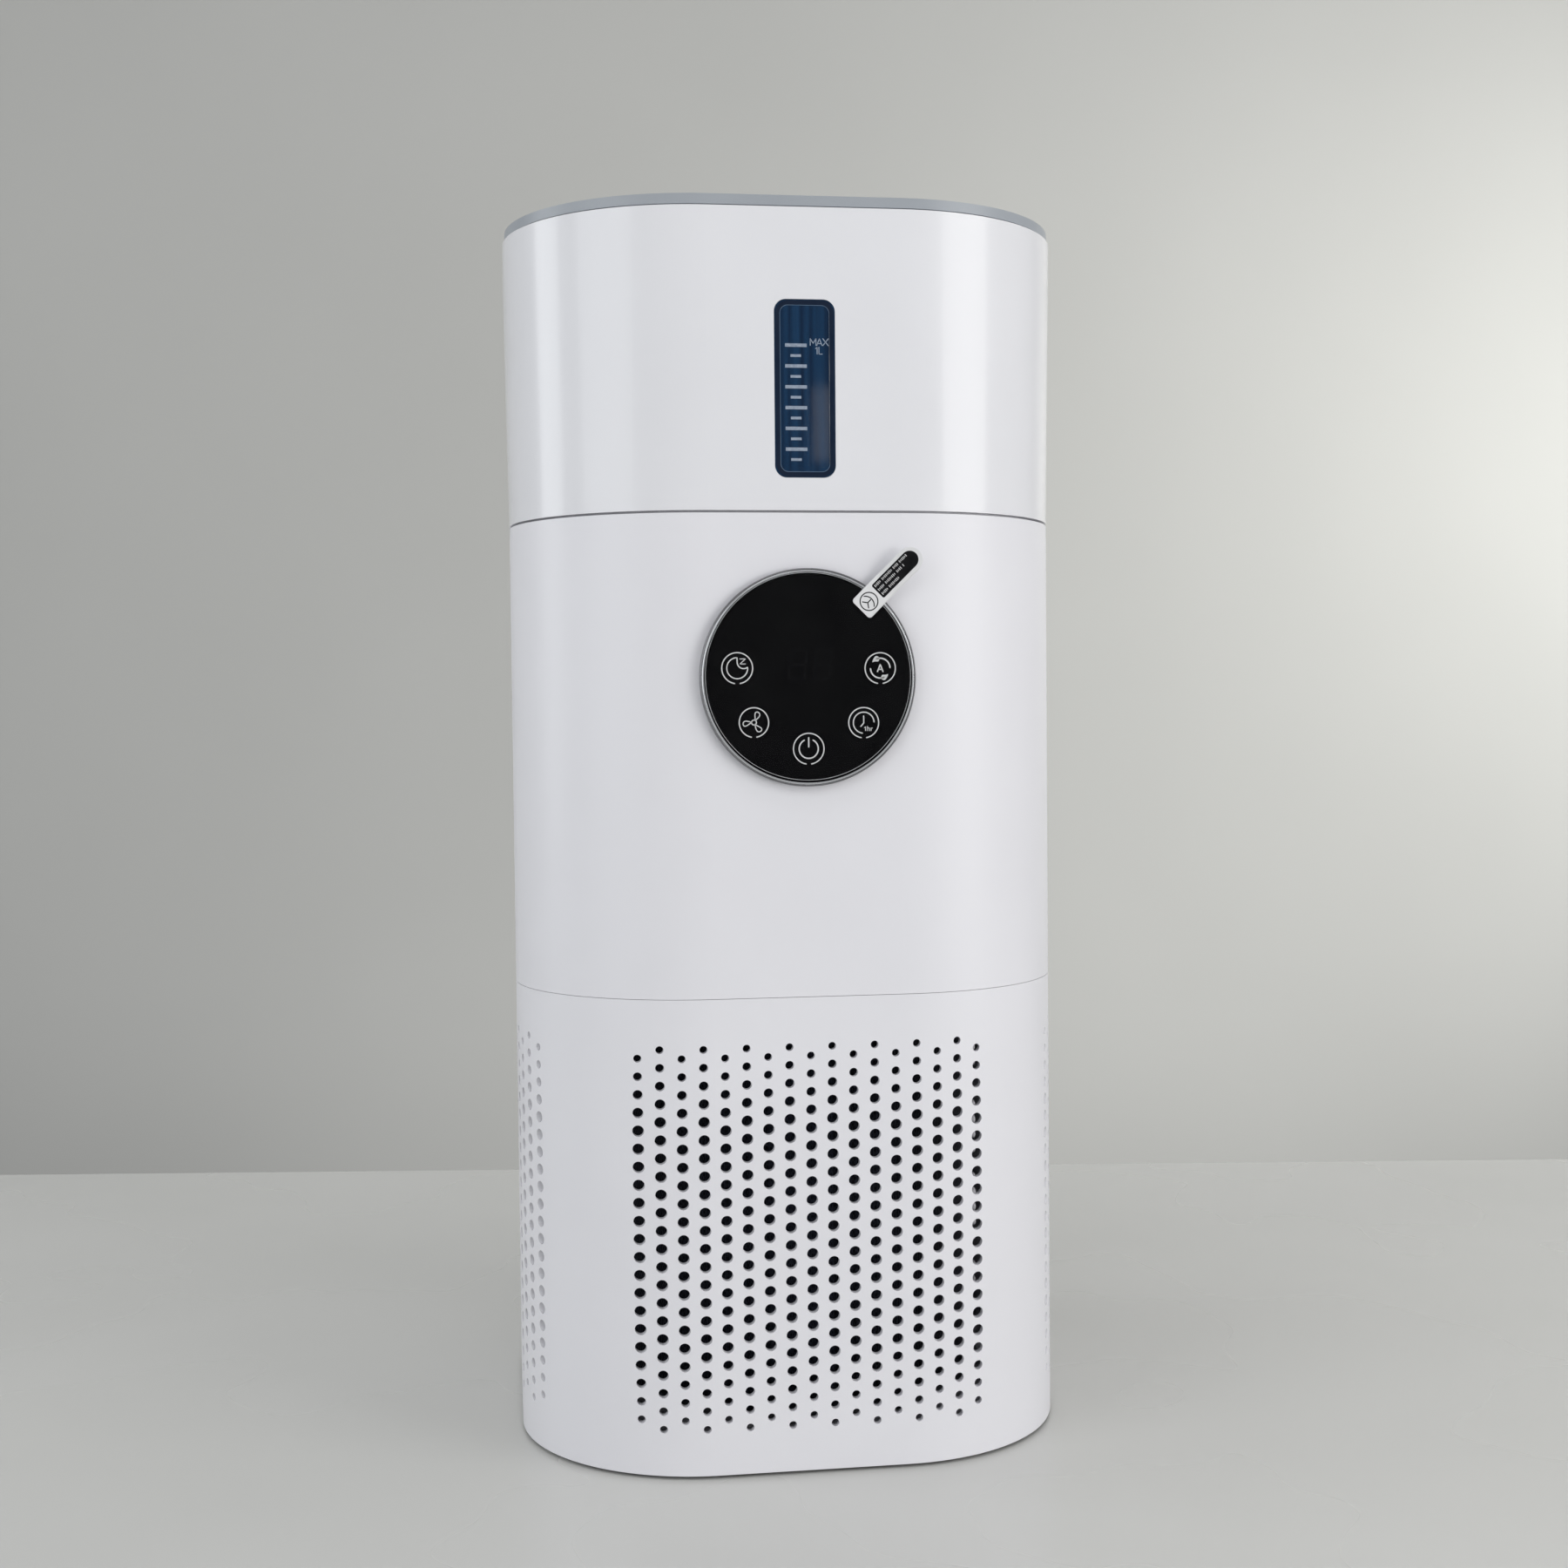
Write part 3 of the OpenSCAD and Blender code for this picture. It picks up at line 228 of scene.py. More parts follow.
# Maps a texture to a colour between two.
def colourFrom(tree, shader, source, low, high):
    ramp = tree.nodes.new("ShaderNodeValToRGB")
    for element, position, colour in zip(ramp.color_ramp.elements, textureRange, (low, high)):
        element.position = position
        element.color = (*colour, 1)
    tree.links.new(source, ramp.inputs["Fac"])
    tree.links.new(ramp.outputs["Color"], shader.inputs["Base Color"])


# Raises the surface by up to height where the texture is bright.
def bumpFrom(tree, shader, source, height):
    bump = tree.nodes.new("ShaderNodeBump")
    bump.inputs["Distance"].default_value = height
    tree.links.new(source, bump.inputs["Height"])
    tree.links.new(bump.outputs["Normal"], shader.inputs["Normal"])


# Moulded or cast surface: broad clouding in colour and gloss, and a fine skin texture.
def mouldedPlastic(name, colour, shift, roughness, spread, grain, relief,
                   coat=0.0, specular=0.5, cloud=35 * mm):
    material, tree, shader, coords = newMaterial(name)
    broad = noiseNode(tree, coords, cloud, 2.0).outputs["Fac"]
    fine = noiseNode(tree, coords, grain, 2.0).outputs["Fac"]
    low = [max(c - shift, 0) for c in colour]
    high = [min(c + shift, 1) for c in colour]
    colourFrom(tree, shader, broad, low, high)
    glossFrom(tree, shader, broad, roughness - spread, roughness + spread)
    shader.inputs["Coat Weight"].default_value = coat
    shader.inputs["Coat Roughness"].default_value = 0.08
    shader.inputs["Specular IOR Level"].default_value = specular
    bumpFrom(tree, shader, fine, relief)
    return material


# Thin clear film: a faint veil over what lies under it, with soft smears in its gloss.
def thinFilm(name, colour, veil, roughness=0.1, smear=14 * mm):
    material, tree, shader, coords = newMaterial(name)
    smears = noiseNode(tree, coords, smear, 3.0, (1, 1, 0.35)).outputs["Fac"]
    colourFrom(tree, shader, smears, [c * 0.7 for c in colour], colour)
    glossFrom(tree, shader, smears, roughness, roughness + 0.1)
    shader.inputs["Specular IOR Level"].default_value = 0.3
    shader.inputs["Alpha"].default_value = veil
    return material


# Tinted moulding with faint upright ribs: part of the light goes through, part is thrown back by the tint.
def ribbedTint(name, dark, light, ribs=2.2 * mm, through=0.55, roughness=0.03, ior=1.3):
    material, tree, shader, coords = newMaterial(name)
    upright = noiseNode(tree, coords, ribs, 2.0, (1, 1, 60)).outputs["Fac"]
    colourFrom(tree, shader, upright, dark, light)
    glossFrom(tree, shader, upright, roughness, roughness + 0.03)
    shader.inputs["Transmission Weight"].default_value = through
    shader.inputs["IOR"].default_value = ior
    return material


# Plain weave: two sets of threads at right angles, crossing over and under.
def wovenCloth(name, dark, light, pitch, relief=0.12 * mm, roughness=0.85, sheen=0.2):
    material, tree, shader, coords = newMaterial(name)
    place = tree.nodes.new("ShaderNodeMapping")
    place.inputs["Scale"].default_value = (1 / pitch,) * 3
    tree.links.new(coords.outputs["Object"], place.inputs["Vector"])
    checks = tree.nodes.new("ShaderNodeTexChecker")
    checks.inputs["Scale"].default_value = 1.0
    tree.links.new(place.outputs["Vector"], checks.inputs["Vector"])
    weave = tree.nodes.new("ShaderNodeMix")
    weave.data_type = "FLOAT"
    tree.links.new(checks.outputs["Fac"], weave.inputs[0])
    for direction, socket in (("X", 2), ("Y", 3)):
        threads = tree.nodes.new("ShaderNodeTexWave")
        threads.bands_direction = direction
        threads.inputs["Scale"].default_value = 0.5
        threads.inputs["Distortion"].default_value = 0.15
        tree.links.new(place.outputs["Vector"], threads.inputs["Vector"])
        tree.links.new(threads.outputs["Fac"], weave.inputs[socket])
    colourFrom(tree, shader, weave.outputs[0], dark, light)
    glossFrom(tree, shader, weave.outputs[0], roughness + 0.08, roughness - 0.05)
    shader.inputs["Sheen Weight"].default_value = sheen
    bumpFrom(tree, shader, weave.outputs[0], relief)
    return material


# Nonwoven paper: long fibres in two directions and a soft blotch.
def fibrePaper(name, dark, light, fibre=0.25 * mm, roughness=0.85, relief=0.03 * mm):
    material, tree, shader, coords = newMaterial(name)
    along = noiseNode(tree, coords, fibre, 4.0, (1, 1, 9)).outputs["Fac"]
    across = noiseNode(tree, coords, fibre, 4.0, (5, 5, 1)).outputs["Fac"]
    crossed = tree.nodes.new("ShaderNodeMath")
    crossed.operation = "MULTIPLY"
    tree.links.new(along, crossed.inputs[0])
    tree.links.new(across, crossed.inputs[1])
    blotch = noiseNode(tree, coords, 9 * mm, 2.0).outputs["Fac"]
    colourFrom(tree, shader, blotch, dark, light)
    glossFrom(tree, shader, along, roughness - 0.06, roughness + 0.08)
    bumpFrom(tree, shader, crossed.outputs["Value"], relief)
    return material


# Bright metal or plating with fine tool or polishing marks.
def turnedMetal(name, colour, roughness, grain, relief, stretch, metallic):
    material, tree, shader, coords = newMaterial(name)
    marks = noiseNode(tree, coords, grain, 3.0, stretch).outputs["Fac"]
    smudge = noiseNode(tree, coords, 14 * mm, 3.0).outputs["Fac"]
    colourFrom(tree, shader, smudge, [c * 0.9 for c in colour], colour)
    glossFrom(tree, shader, smudge, roughness * 0.8, roughness * 1.3)
    shader.inputs["Metallic"].default_value = metallic
    bumpFrom(tree, shader, marks, relief)
    return material


# Name, colour, shift of the colour, roughness, its spread, grain and relief in mm, and what else differs.
mouldedFinishes = [
    ("whiteShell", (0.79, 0.785, 0.82), 0.006, 0.36, 0.03, 0.5, 0.0025, {}),
    ("whiteTank", (0.79, 0.79, 0.82), 0.006, 0.24, 0.03, 0.6, 0.0015, {"coat": 0.25}),
    ("whiteInside", (0.66, 0.67, 0.68), 0.02, 0.5, 0.06, 0.4, 0.01, {}),
    ("fanWhite", (0.6, 0.61, 0.62), 0.02, 0.46, 0.05, 0.5, 0.008, {}),
    ("blackInside", (0.018, 0.019, 0.022), 0.006, 0.55, 0.08, 0.35, 0.015, {}),
    ("footRubber", (0.028, 0.028, 0.03), 0.01, 0.8, 0.08, 0.3, 0.02, {"specular": 0.3}),
    ("filterRubber", (0.05, 0.056, 0.07), 0.015, 0.75, 0.08, 0.6, 0.03, {}),
    ("sealSilicone", (0.5, 0.52, 0.54), 0.02, 0.6, 0.06, 0.8, 0.02, {}),
    ("sealFoam", (0.2, 0.205, 0.21), 0.03, 0.95, 0.03, 1.1, 0.25, {"specular": 0.2}),
    ("capBlue", (0.345, 0.37, 0.402), 0.01, 0.34, 0.04, 0.4, 0.003, {}),
    ("wickPlastic", (0.03, 0.09, 0.24), 0.01, 0.5, 0.06, 0.4, 0.01, {}),
    ("boardGreen", (0.012, 0.075, 0.03), 0.01, 0.4, 0.1, 0.9, 0.02, {"cloud": 4 * mm}),
    ("panelBlack", (0.003, 0.003, 0.0035), 0.0012, 0.08, 0.02, 5, 0.0005,
     {"cloud": 12 * mm, "specular": 0.06}),
    ("printWhite", (0.9, 0.91, 0.92), 0.03, 0.5, 0.05, 0.2, 0.002, {"cloud": 1.5 * mm}),
    ("digitGhost", (0.0055, 0.0055, 0.0065), 0.001, 0.25, 0.05, 0.3, 0.002,
     {"cloud": 1 * mm, "specular": 0.08}),
    ("markGrey", (0.27, 0.32, 0.4), 0.05, 0.5, 0.05, 0.15, 0.003, {"cloud": 0.8 * mm}),
    ("rimBlue", (0.006, 0.014, 0.034), 0.003, 0.2, 0.04, 0.4, 0.002, {"cloud": 9 * mm, "specular": 0.2}),
    ("lineBlue", (0.11, 0.17, 0.25), 0.03, 0.3, 0.05, 0.15, 0.003, {"cloud": 8 * mm}),
    ("labelWhite", (0.74, 0.74, 0.75), 0.015, 0.4, 0.05, 0.7, 0.004, {"cloud": 6 * mm}),
    ("tickGrey", (0.62, 0.62, 0.63), 0.03, 0.45, 0.05, 0.2, 0.003, {"cloud": 1.2 * mm}),
    ("labelBlack", (0.005, 0.005, 0.006), 0.002, 0.45, 0.05, 0.3, 0.002, {"cloud": 3 * mm, "specular": 0.15}),
    # Pale finish of the film's rim bead and of the window's right-hand edge: painted glint.
    ("paintedEdgeGlint", (0.5, 0.51, 0.53), 0.03, 0.25, 0.05, 0.3, 0.002, {"cloud": 5 * mm}),
    ("carbonFoam", (0.012, 0.012, 0.013), 0.006, 0.9, 0.05, 1.6, 0.5, {"specular": 0.2}),
    ("tableTop", (0.595, 0.595, 0.575), 0.012, 0.27, 0.04, 1.5, 0.002, {"cloud": 0.15, "specular": 0.3}),
    ("wallPaint", (0.42, 0.42, 0.405), 0.008, 0.8, 0.05, 2, 0.01, {"cloud": 0.3}),
]
# Name, colour, roughness, grain and relief in mm, how the marks are stretched, and how metallic.
metalFinishes = [
    ("boltSteel", (0.55, 0.56, 0.58), 0.32, 0.12, 0.003, (1, 1, 1), 1.0),
    ("canSteel", (0.42, 0.43, 0.45), 0.42, 0.3, 0.01, (1, 1, 1), 1.0),
    ("brightRing", (0.62, 0.63, 0.65), 0.25, 0.2, 0.0008, (1, 1, 1), 0.75),
    # Dark metal of the ring's bevel and outer wall: painted shade and painted dark reflection.
    ("shadedRingSide", (0.24, 0.24, 0.25), 0.32, 0.3, 0.01, (1, 1, 6), 1.0),
    ("copperCore", (0.55, 0.28, 0.14), 0.35, 0.3, 0.02, (8, 8, 1), 1.0),
    ("ferrite", (0.08, 0.08, 0.085), 0.6, 0.3, 0.02, (1, 1, 1), 0.3),
]

finishes = {
    "clearFilm": thinFilm("clearFilm", (0.008, 0.008, 0.009), 0.1),
    "windowBlue": ribbedTint("windowBlue", (0.006, 0.03, 0.085), (0.022, 0.1, 0.235)),
    "filterPaper": fibrePaper("filterPaper", (0.66, 0.65, 0.6), (0.74, 0.73, 0.69)),
    "wickFibre": fibrePaper("wickFibre", (0.035, 0.13, 0.36), (0.05, 0.18, 0.45), 0.4 * mm),
    "filterNet": wovenCloth("filterNet", (0.006, 0.008, 0.016), (0.03, 0.035, 0.06), 1.1 * mm),
    "strapRibbon": wovenCloth("strapRibbon", (0.02, 0.06, 0.2), (0.06, 0.14, 0.36), 0.5 * mm, 0.05 * mm),
}
for name, colour, shift, roughness, spread, grain, relief, more in mouldedFinishes:
    finishes[name] = mouldedPlastic(name, colour, shift, roughness, spread, grain * mm, relief * mm, **more)
for name, colour, roughness, grain, relief, stretch, metallic in metalFinishes:
    finishes[name] = turnedMetal(name, colour, roughness, grain * mm, relief * mm, stretch, metallic)

nodesOf = {
    "whiteShell": ("base_shell", "base_plate", "bottom_cover", "mid_shell"),
    "whiteTank": ("tank_shell",),
    "footRubber": ("feet", "window_gasket"),
    "boltSteel": ("plate_screws", "deck_screws", "housing_screws", "motor_screws", "shell_screws",
                  "board_screws", "motor_shaft", "impeller_nut", "motor_bearings", "touch_springs"),
    "canSteel": ("motor_can", "motor_end_bell"),
    "copperCore": ("motor_stator",),
    "ferrite": ("motor_magnet",),
    "whiteInside": ("fan_deck", "fan_housing", "air_duct", "guide_vanes"),
    "fanWhite": ("impeller",),
    "blackInside": ("inlet_guard", "outlet_guard", "panel_carrier", "digit_display", "power_inlet",
                    "air_sensor"),
    "boardGreen": ("display_board", "control_board"),
    "brightRing": ("panel_ring",),
    "panelBlack": ("panel_glass",),
    "clearFilm": ("screen_film",),
    "labelWhite": ("film_tab",),
    "sealSilicone": ("duct_seal", "filter_seal"),
    "filterRubber": ("filter_top_ring", "filter_bottom_cap"),
    "filterPaper": ("filter_media",),
    "filterNet": ("prefilter_sleeve",),
    "carbonFoam": ("carbon_layer",),
    "strapRibbon": ("filter_strap",),
    "windowBlue": ("tank_window",),
    "capBlue": ("outlet_grille",),
    "wickPlastic": ("wick_frame",),
    "wickFibre": ("wick_media",),
}

for finish, nodeNames in nodesOf.items():
    for nodeName in nodeNames:
        nodes[nodeName].data.materials.clear()
        nodes[nodeName].data.materials.append(finishes[finish])
print("finishes given:", len(finishes))


def finishPiece(piece, finish, body, slot, *stoodFor):
    piece.data.materials.append(finishes[finish])
    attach(piece, body)
    if stoodFor:
        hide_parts(*stoodFor)
    return piece


# Sizes on the panel are in millimetres, angles in degrees.
touchLook = {
    "ring": 5.05, "ringGap": 10.5, "pen": 0.38, "finePen": 0.27, "print": 0.02,
    "scale": {"Fan": 0.955, "Timer": 0.985},
    "places": {"Sleep": (-23.45, 3.17), "Auto": (23.75, 2.87), "Fan": (-18.15, -14.53),
               "Timer": (18.1, -14.95), "Power": (-0.2, -23.28)},
}


# From panel millimetres (right, up, out) to metres in front of the plane y.
def onGlass(points, y):
    p = np.asarray(points, float) * mm
    return np.stack([panelCentre.x + p[:, 0], y - p[:, 2], panelCentre.z + p[:, 1]], 1)


# A blade outline: an ellipse along its axis, narrowed towards the hub, across = half sin t
# (0.55 + 0.45 cos t), and swept by 0.05 radians for each millimetre out.
def petalPath(angle, length=3.6, root=0.75, half=1.2):
    t = fullTurn(36)
    along = (length + root) / 2 + (length - root) / 2 * np.cos(t)
    across = half * np.sin(t) * (0.55 + 0.45 * np.cos(t))
    a = np.radians(angle) + 0.05 * (along - root)
    return np.stack([along * np.cos(a) - across * np.sin(a), along * np.sin(a) + across * np.cos(a)], 1)


# A ring that is open at the bottom, and the sign inside it.
def symbolPaths(kind, look):
    s, f = look["pen"], look["finePen"]
    gap = look["ringGap"]
    ring = look["ring"] * look["scale"].get(kind, 1.0)
    paths = [(arcPath(ring, -90 + gap, 270 - gap, count=72), s, "round")]
    if kind == "Sleep":
        outer = arcPath(3.42, 91, 362, count=44)
        inner = arcPath(2.1, 308, 176, (2.1, 1.95), 22)
        paths.append((np.concatenate([outer, inner]), s, "loop"))
        paths.append((linePath((0.9, 3.0), (2.72, 3.0), (0.9, 1.35), (2.72, 1.35)), f, "round"))
    if kind == "Auto":
        for turn in (1, -1):
            arc = arcPath(3.25, 4, 112, count=30) * turn
            paths.append((arc, s * 1.25, "round"))
            tip = arcPath(3.25, 112, 142, count=8) * turn
            paths.append((tip, np.linspace(1.9, 0.12, 8), "round"))
        paths.append((linePath((-0.9, -1.1), (0, 1.25), (0.9, -1.1)), s * 1.15, "round"))
        paths.append((linePath((-0.5, -0.4), (0.5, -0.4)), s, "round"))
    if kind == "Fan":
        paths.append((arcPath(0.8, 0, 345, count=24), s, "loop"))
        paths += [(petalPath(a), s * 0.9, "loop") for a in (60, 181, 300)]
    if kind == "Timer":
        paths.append((arcPath(3.45, 4, 262, count=52), s, "round"))
        paths.append((linePath((0, 2.2), (0, -0.1), (-0.95, -1.2)), s, "round"))
        paths.append((linePath((0.25, -1.65), (0.6, -1.3), (0.6, -2.62)), f, "round"))
        paths.append((linePath((1.25, -1.25), (1.25, -2.62)), f, "round"))
        shoulder = arcPath(0.34, 160, 0, (1.59, -2.06), 8)
        paths.append((np.concatenate([shoulder, [[1.93, -2.62]]]), f, "round"))
        paths.append((linePath((2.45, -1.78), (2.45, -2.62)), f, "round"))
        paths.append((arcPath(0.36, 160, 75, (2.8, -2.15), 6), f, "round"))
    if kind == "Power":
        paths.append((arcPath(3.15, 118, 422, count=56), s * 1.15, "round"))
        paths.append((linePath((0, 3.55), (0, 0.6)), s * 1.15, "round"))
    return paths


glassFront = glassBox[0].y
for kind, (px, pz) in touchLook["places"].items():
    points, faces = strokeSolid(symbolPaths(kind, touchLook), touchLook["print"])
    points[:, 0] += px
    points[:, 1] += pz
    symbol = fixNormals(addMesh("symbol" + kind, onGlass(points, glassFront), faces, False))
    finishPiece(symbol, "printWhite", "main", "label")

springLook = {
    "ring": 23.5 * mm, "radius": 3.5 * mm, "wire": 0.28 * mm, "turns": 5.5, "perTurn": 22, "facets": 8,
}


# A coil behind each symbol: a circle of the wire's radius carried along a helix, and pointed at both ends.
def touchSprings(look):
    low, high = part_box("touch_springs")
    t = np.linspace(0, 1, int(look["turns"] * look["perTurn"]))[:, None]
    a = 2 * np.pi * look["turns"] * t
    b = fullTurn(look["facets"])[None, :]
    wire = look["wire"] * np.where((t == 0) | (t == 1), 0.0, 1.0)
    coil = look["radius"] + wire * np.cos(b)
    rise = low.y + look["wire"] + (high.y - low.y - 2 * look["wire"]) * t + wire * np.sin(b)
    points, faces = [], []
    for px, pz in touchLook["places"].values():
        out = look["ring"] / math.hypot(px, pz)
        x = panelCentre.x + px * out + coil * np.cos(a)
        z = panelCentre.z + pz * out + coil * np.sin(a)
        spot = np.stack([x, rise, z], -1)
        faces += gridFaces(*spot.shape[:2], False, True, len(points) * coil.size).tolist()
        points.append(spot.reshape(-1, 3))
    return fixNormals(addMesh("touchSprings", np.concatenate(points), faces))


finishPiece(touchSprings(springLook), "boltSteel", "main", "screw_steel", "touch_springs")

digitLook = {
    "height": 9.5, "width": 5.2, "gap": 8.2, "pen": 0.9, "cut": 0.63, "lean": 0.09, "centre": (0.6, 4.2),
    "print": 0.008,
}


# Seven bars of one figure, cut short at the corners and leaning a little to the right.
def digitPaths(x0, look):
    w, h = look["width"] / 2, look["height"] / 2
    cut = look["cut"]
    bars = [((-w + cut, z), (w - cut, z)) for z in (h, 0, -h)]
    bars += [((x, s * cut), (x, s * (h - cut))) for x in (-w, w) for s in (1, -1)]
    out = []
    for a, b in bars:
        p = linePath(a, b)
        p[:, 0] += look["lean"] * p[:, 1] + x0 + look["centre"][0]
        p[:, 1] += look["centre"][1]
        out.append((p, look["pen"], "round"))
    return out


halfGap = digitLook["gap"] / 2
bothDigits = digitPaths(-halfGap, digitLook) + digitPaths(halfGap, digitLook)
points, faces = strokeSolid(bothDigits, digitLook["print"])
digits = fixNormals(addMesh("unlitDigits", onGlass(points, glassFront), faces, False))
finishPiece(digits, "digitGhost", "main", "panel_black")
print("touch panel drawn")


filmLook = {
    "radius": 33.85, "centre": (-0.05, 0.3), "thickness": 0.1, "gap": 0.05, "lift": 0.05, "ripple": 0.03,
    "bead": 0.075, "rings": 40, "turns": 240, "facets": 8,
}


# A disc whose front ripples a little and whose rim turns up: height = gap + lift (r/R)^12 + ripple wave^2.
def makeFilm(look):
    r = np.linspace(0, 1, look["rings"])[1:, None]
    a = fullTurn(look["turns"])[None, :]
    wave = r * np.sin(3 * a + 4 * r) * np.cos(7 * r + a)
    h = look["gap"] + look["lift"] * r ** 12 + look["ripple"] * wave ** 2
    x0, z0 = look["centre"]
    back = roundGrid(look["radius"] * r, a, h, look["centre"])
    front = back + (0, 0, look["thickness"])
    middle = [[x0, z0, look["gap"] + look["thickness"]], [x0, z0, look["gap"]]]
    points = np.concatenate([front.reshape(-1, 3), back.reshape(-1, 3), middle])
    rows, cols = front.shape[:2]
    count = rows * cols
    faces = gridFaces(rows, cols, False, True).tolist()
    faces += [f[::-1] for f in gridFaces(rows, cols, False, True, count).tolist()]
    j = np.arange(cols)
    k = (j + 1) % cols
    edge = (rows - 1) * cols
    faces += np.stack([edge + j, edge + count + j, edge + count + k, edge + k], 1).tolist()
    faces += np.stack([np.full(cols, 2 * count), j, k], 1).tolist()
    faces += np.stack([np.full(cols, 2 * count + 1), count + k, count + j], 1).tolist()
    return fixNormals(addMesh("protectiveFilm", onGlass(points, glassFront), faces))


# A closed grid given in panel millimetres, as a piece in front of the glass.
def panelSolid(name, grid):
    points = onGlass(grid.reshape(-1, 3), glassFront)
    return fixNormals(addMesh(name, points, gridFaces(*grid.shape[:2], True, True)))


# The cut edge of the film: a thin round bead, a circle of the bead's radius carried round the film's rim,
# coloured pale as a painted glint.
def filmRim(look):
    b = fullTurn(look["facets"])[None, :]
    r = look["radius"] + look["bead"] * np.cos(b)
    out = look["lift"] + look["thickness"] + look["bead"] * (1 + np.sin(b))
    return panelSolid("filmRim", roundGrid(r, fullTurn(look["turns"])[:, None], out, look["centre"]))


# The glass's black ground edge, and the ring's bevel and outer wall, whose dark metal is painted shade and
# painted dark reflection: (radius, height above the glass).
ringLook = {
    "edge": ((33.98, -0.02), (34.0, 0.03), (34.62, 0.225), (34.66, 0.17)),
    "side": ((35.18, 0.27), (35.18, 0.31), (35.46, 0.17), (35.64, -0.14),
             (35.64, -2.6), (35.56, -2.6), (35.56, -0.2), (35.4, 0.1)),
    "turns": 180,
}


# Carries a closed profile round the panel's axis.
def panelLathe(name, profile, turns):
    r, out = np.asarray(profile, float).T
    return panelSolid(name, roundGrid(r, fullTurn(turns)[:, None], out))


finishPiece(panelLathe("glassEdge", ringLook["edge"], ringLook["turns"]), "panelBlack", "main", "panel_black")
# The ring's bevel and outer wall in dark metal, as painted shade and painted dark reflection.
finishPiece(panelLathe("shadedRingSide", ringLook["side"], ringLook["turns"]), "shadedRingSide", "main", "bright_ring")
finishPiece(makeFilm(filmLook), "clearFilm", "main", "film", "screen_film")
# The film's rim bead, coloured pale as a painted glint.
finishPiece(filmRim(filmLook), "paintedEdgeGlint", "main", "film")

tabLook = {
    "foot": (17.36, 21.9), "direction": 45.1, "thickness": 0.14, "rise": 2.6, "bend": (10.4, 15.4),
    "strip": (0.0, 27.0, 8.5, 1.1),     # start, stop, width and foot corners
    "band": (8.1, 25.7, 5.8, 0.6), "bandShift": 0.15, "ink": 0.012, "strokeInk": 0.01, "strokeLift": 0.014,
}
tabLook["seat"] = (glassFront - filmBox[0].y) / mm


# The strip lies on the film, then lifts off it: height = rise * smooth step in the bend * share of its run.
def tabHeight(s, look):
    start, stop = look["bend"]
    t = np.clip((s - start) / (stop - start), 0, 1)
    return look["rise"] * t * t * (3 - 2 * t) * np.clip((s - start) / (look["strip"][1] - start), 0, 1)


# Half the width along a strip: round corners where it starts, and a half circle where it stops, whose last
# row keeps a width of 0.02 so that its edges stay apart.
def stripHalf(s, start, stop, width, corner):
    inFoot = np.maximum(corner - (s - start), 0)
    foot = width / 2 - corner + np.sqrt(np.maximum(corner ** 2 - inFoot ** 2, 0))
    inTip = np.maximum(width / 2 - (stop - s), 0)
    return np.minimum(foot, np.sqrt(np.maximum(width ** 2 / 4 - inTip ** 2, 1e-4)))


# Turns points along, across and above the tab to panel millimetres.
def tabPlace(s, across, height, look):
    x0, z0 = look["foot"]
    d = np.radians(look["direction"])
    x = x0 + s * np.cos(d) - across * np.sin(d)
    z = z0 + s * np.sin(d) + across * np.cos(d)
    return np.stack([x, z, height], -1)


# A strip of the tab as a closed thin sheet: points s along and shift + half width * (-1 to 1) across. Its
# rows are closer together at both ends, s = start + length (1 - cos t) / 2.
def tabSheet(name, look, strip, thickness, shift=0.0, lift=0.0, rows=70, cols=17):
    s = strip[0] + (strip[1] - strip[0]) * (1 - np.cos(np.linspace(0, np.pi, rows)[:, None])) / 2
    across = shift + stripHalf(s, *strip) * np.linspace(-1, 1, cols)[None, :]
    s = s + 0 * across
    h = tabHeight(s, look) + look["seat"] + lift
    points = np.concatenate([tabPlace(s, across, h + out, look).reshape(-1, 3) for out in (thickness, 0)])
    count = rows * cols
    faces = gridFaces(rows, cols).tolist() + [f[::-1] for f in gridFaces(rows, cols, start=count).tolist()]
    i = np.arange(count).reshape(rows, cols)
    rim = np.concatenate([i[0], i[1:, -1], i[-1, -2::-1], i[-2:0:-1, 0]])
    after = np.roll(rim, -1)
    faces += np.stack([rim, after, after + count, rim + count], 1).tolist()
    return fixNormals(addMesh(name, onGlass(points, glassFront), faces))


tab = tabSheet("filmTab", tabLook, tabLook["strip"], tabLook["thickness"])
finishPiece(tab, "labelWhite", "main", "label", "film_tab")
tabPrint = tabSheet("tabPrint", tabLook, tabLook["band"], tabLook["ink"],
                    shift=tabLook["bandShift"], lift=tabLook["thickness"])
finishPiece(tabPrint, "labelBlack", "main", "label")


# Strokes laid along the tab, following its rise.
def tabStroke(name, paths, finish, look):
    points, faces = strokeSolid(paths, look["strokeInk"])
    s, across, out = points.T
    h = tabHeight(s, look) + look["seat"] + look["thickness"] + look["strokeLift"] + out
    piece = fixNormals(addMesh(name, onGlass(tabPlace(s, across, h, look), glassFront), faces, False))
    return finishPiece(piece, finish, "main", "label")


rulingLook = {
    "rows": ((2.05, 22.9), (0.35, 20.4), (-1.4, 17.3)),      # across, and where the row stops
    "start": 8.9, "pitch": 0.56, "pen": 0.26, "tall": 0.9, "short": 0.7, "words": (5, 8, 4, 7, 3, 6),
}


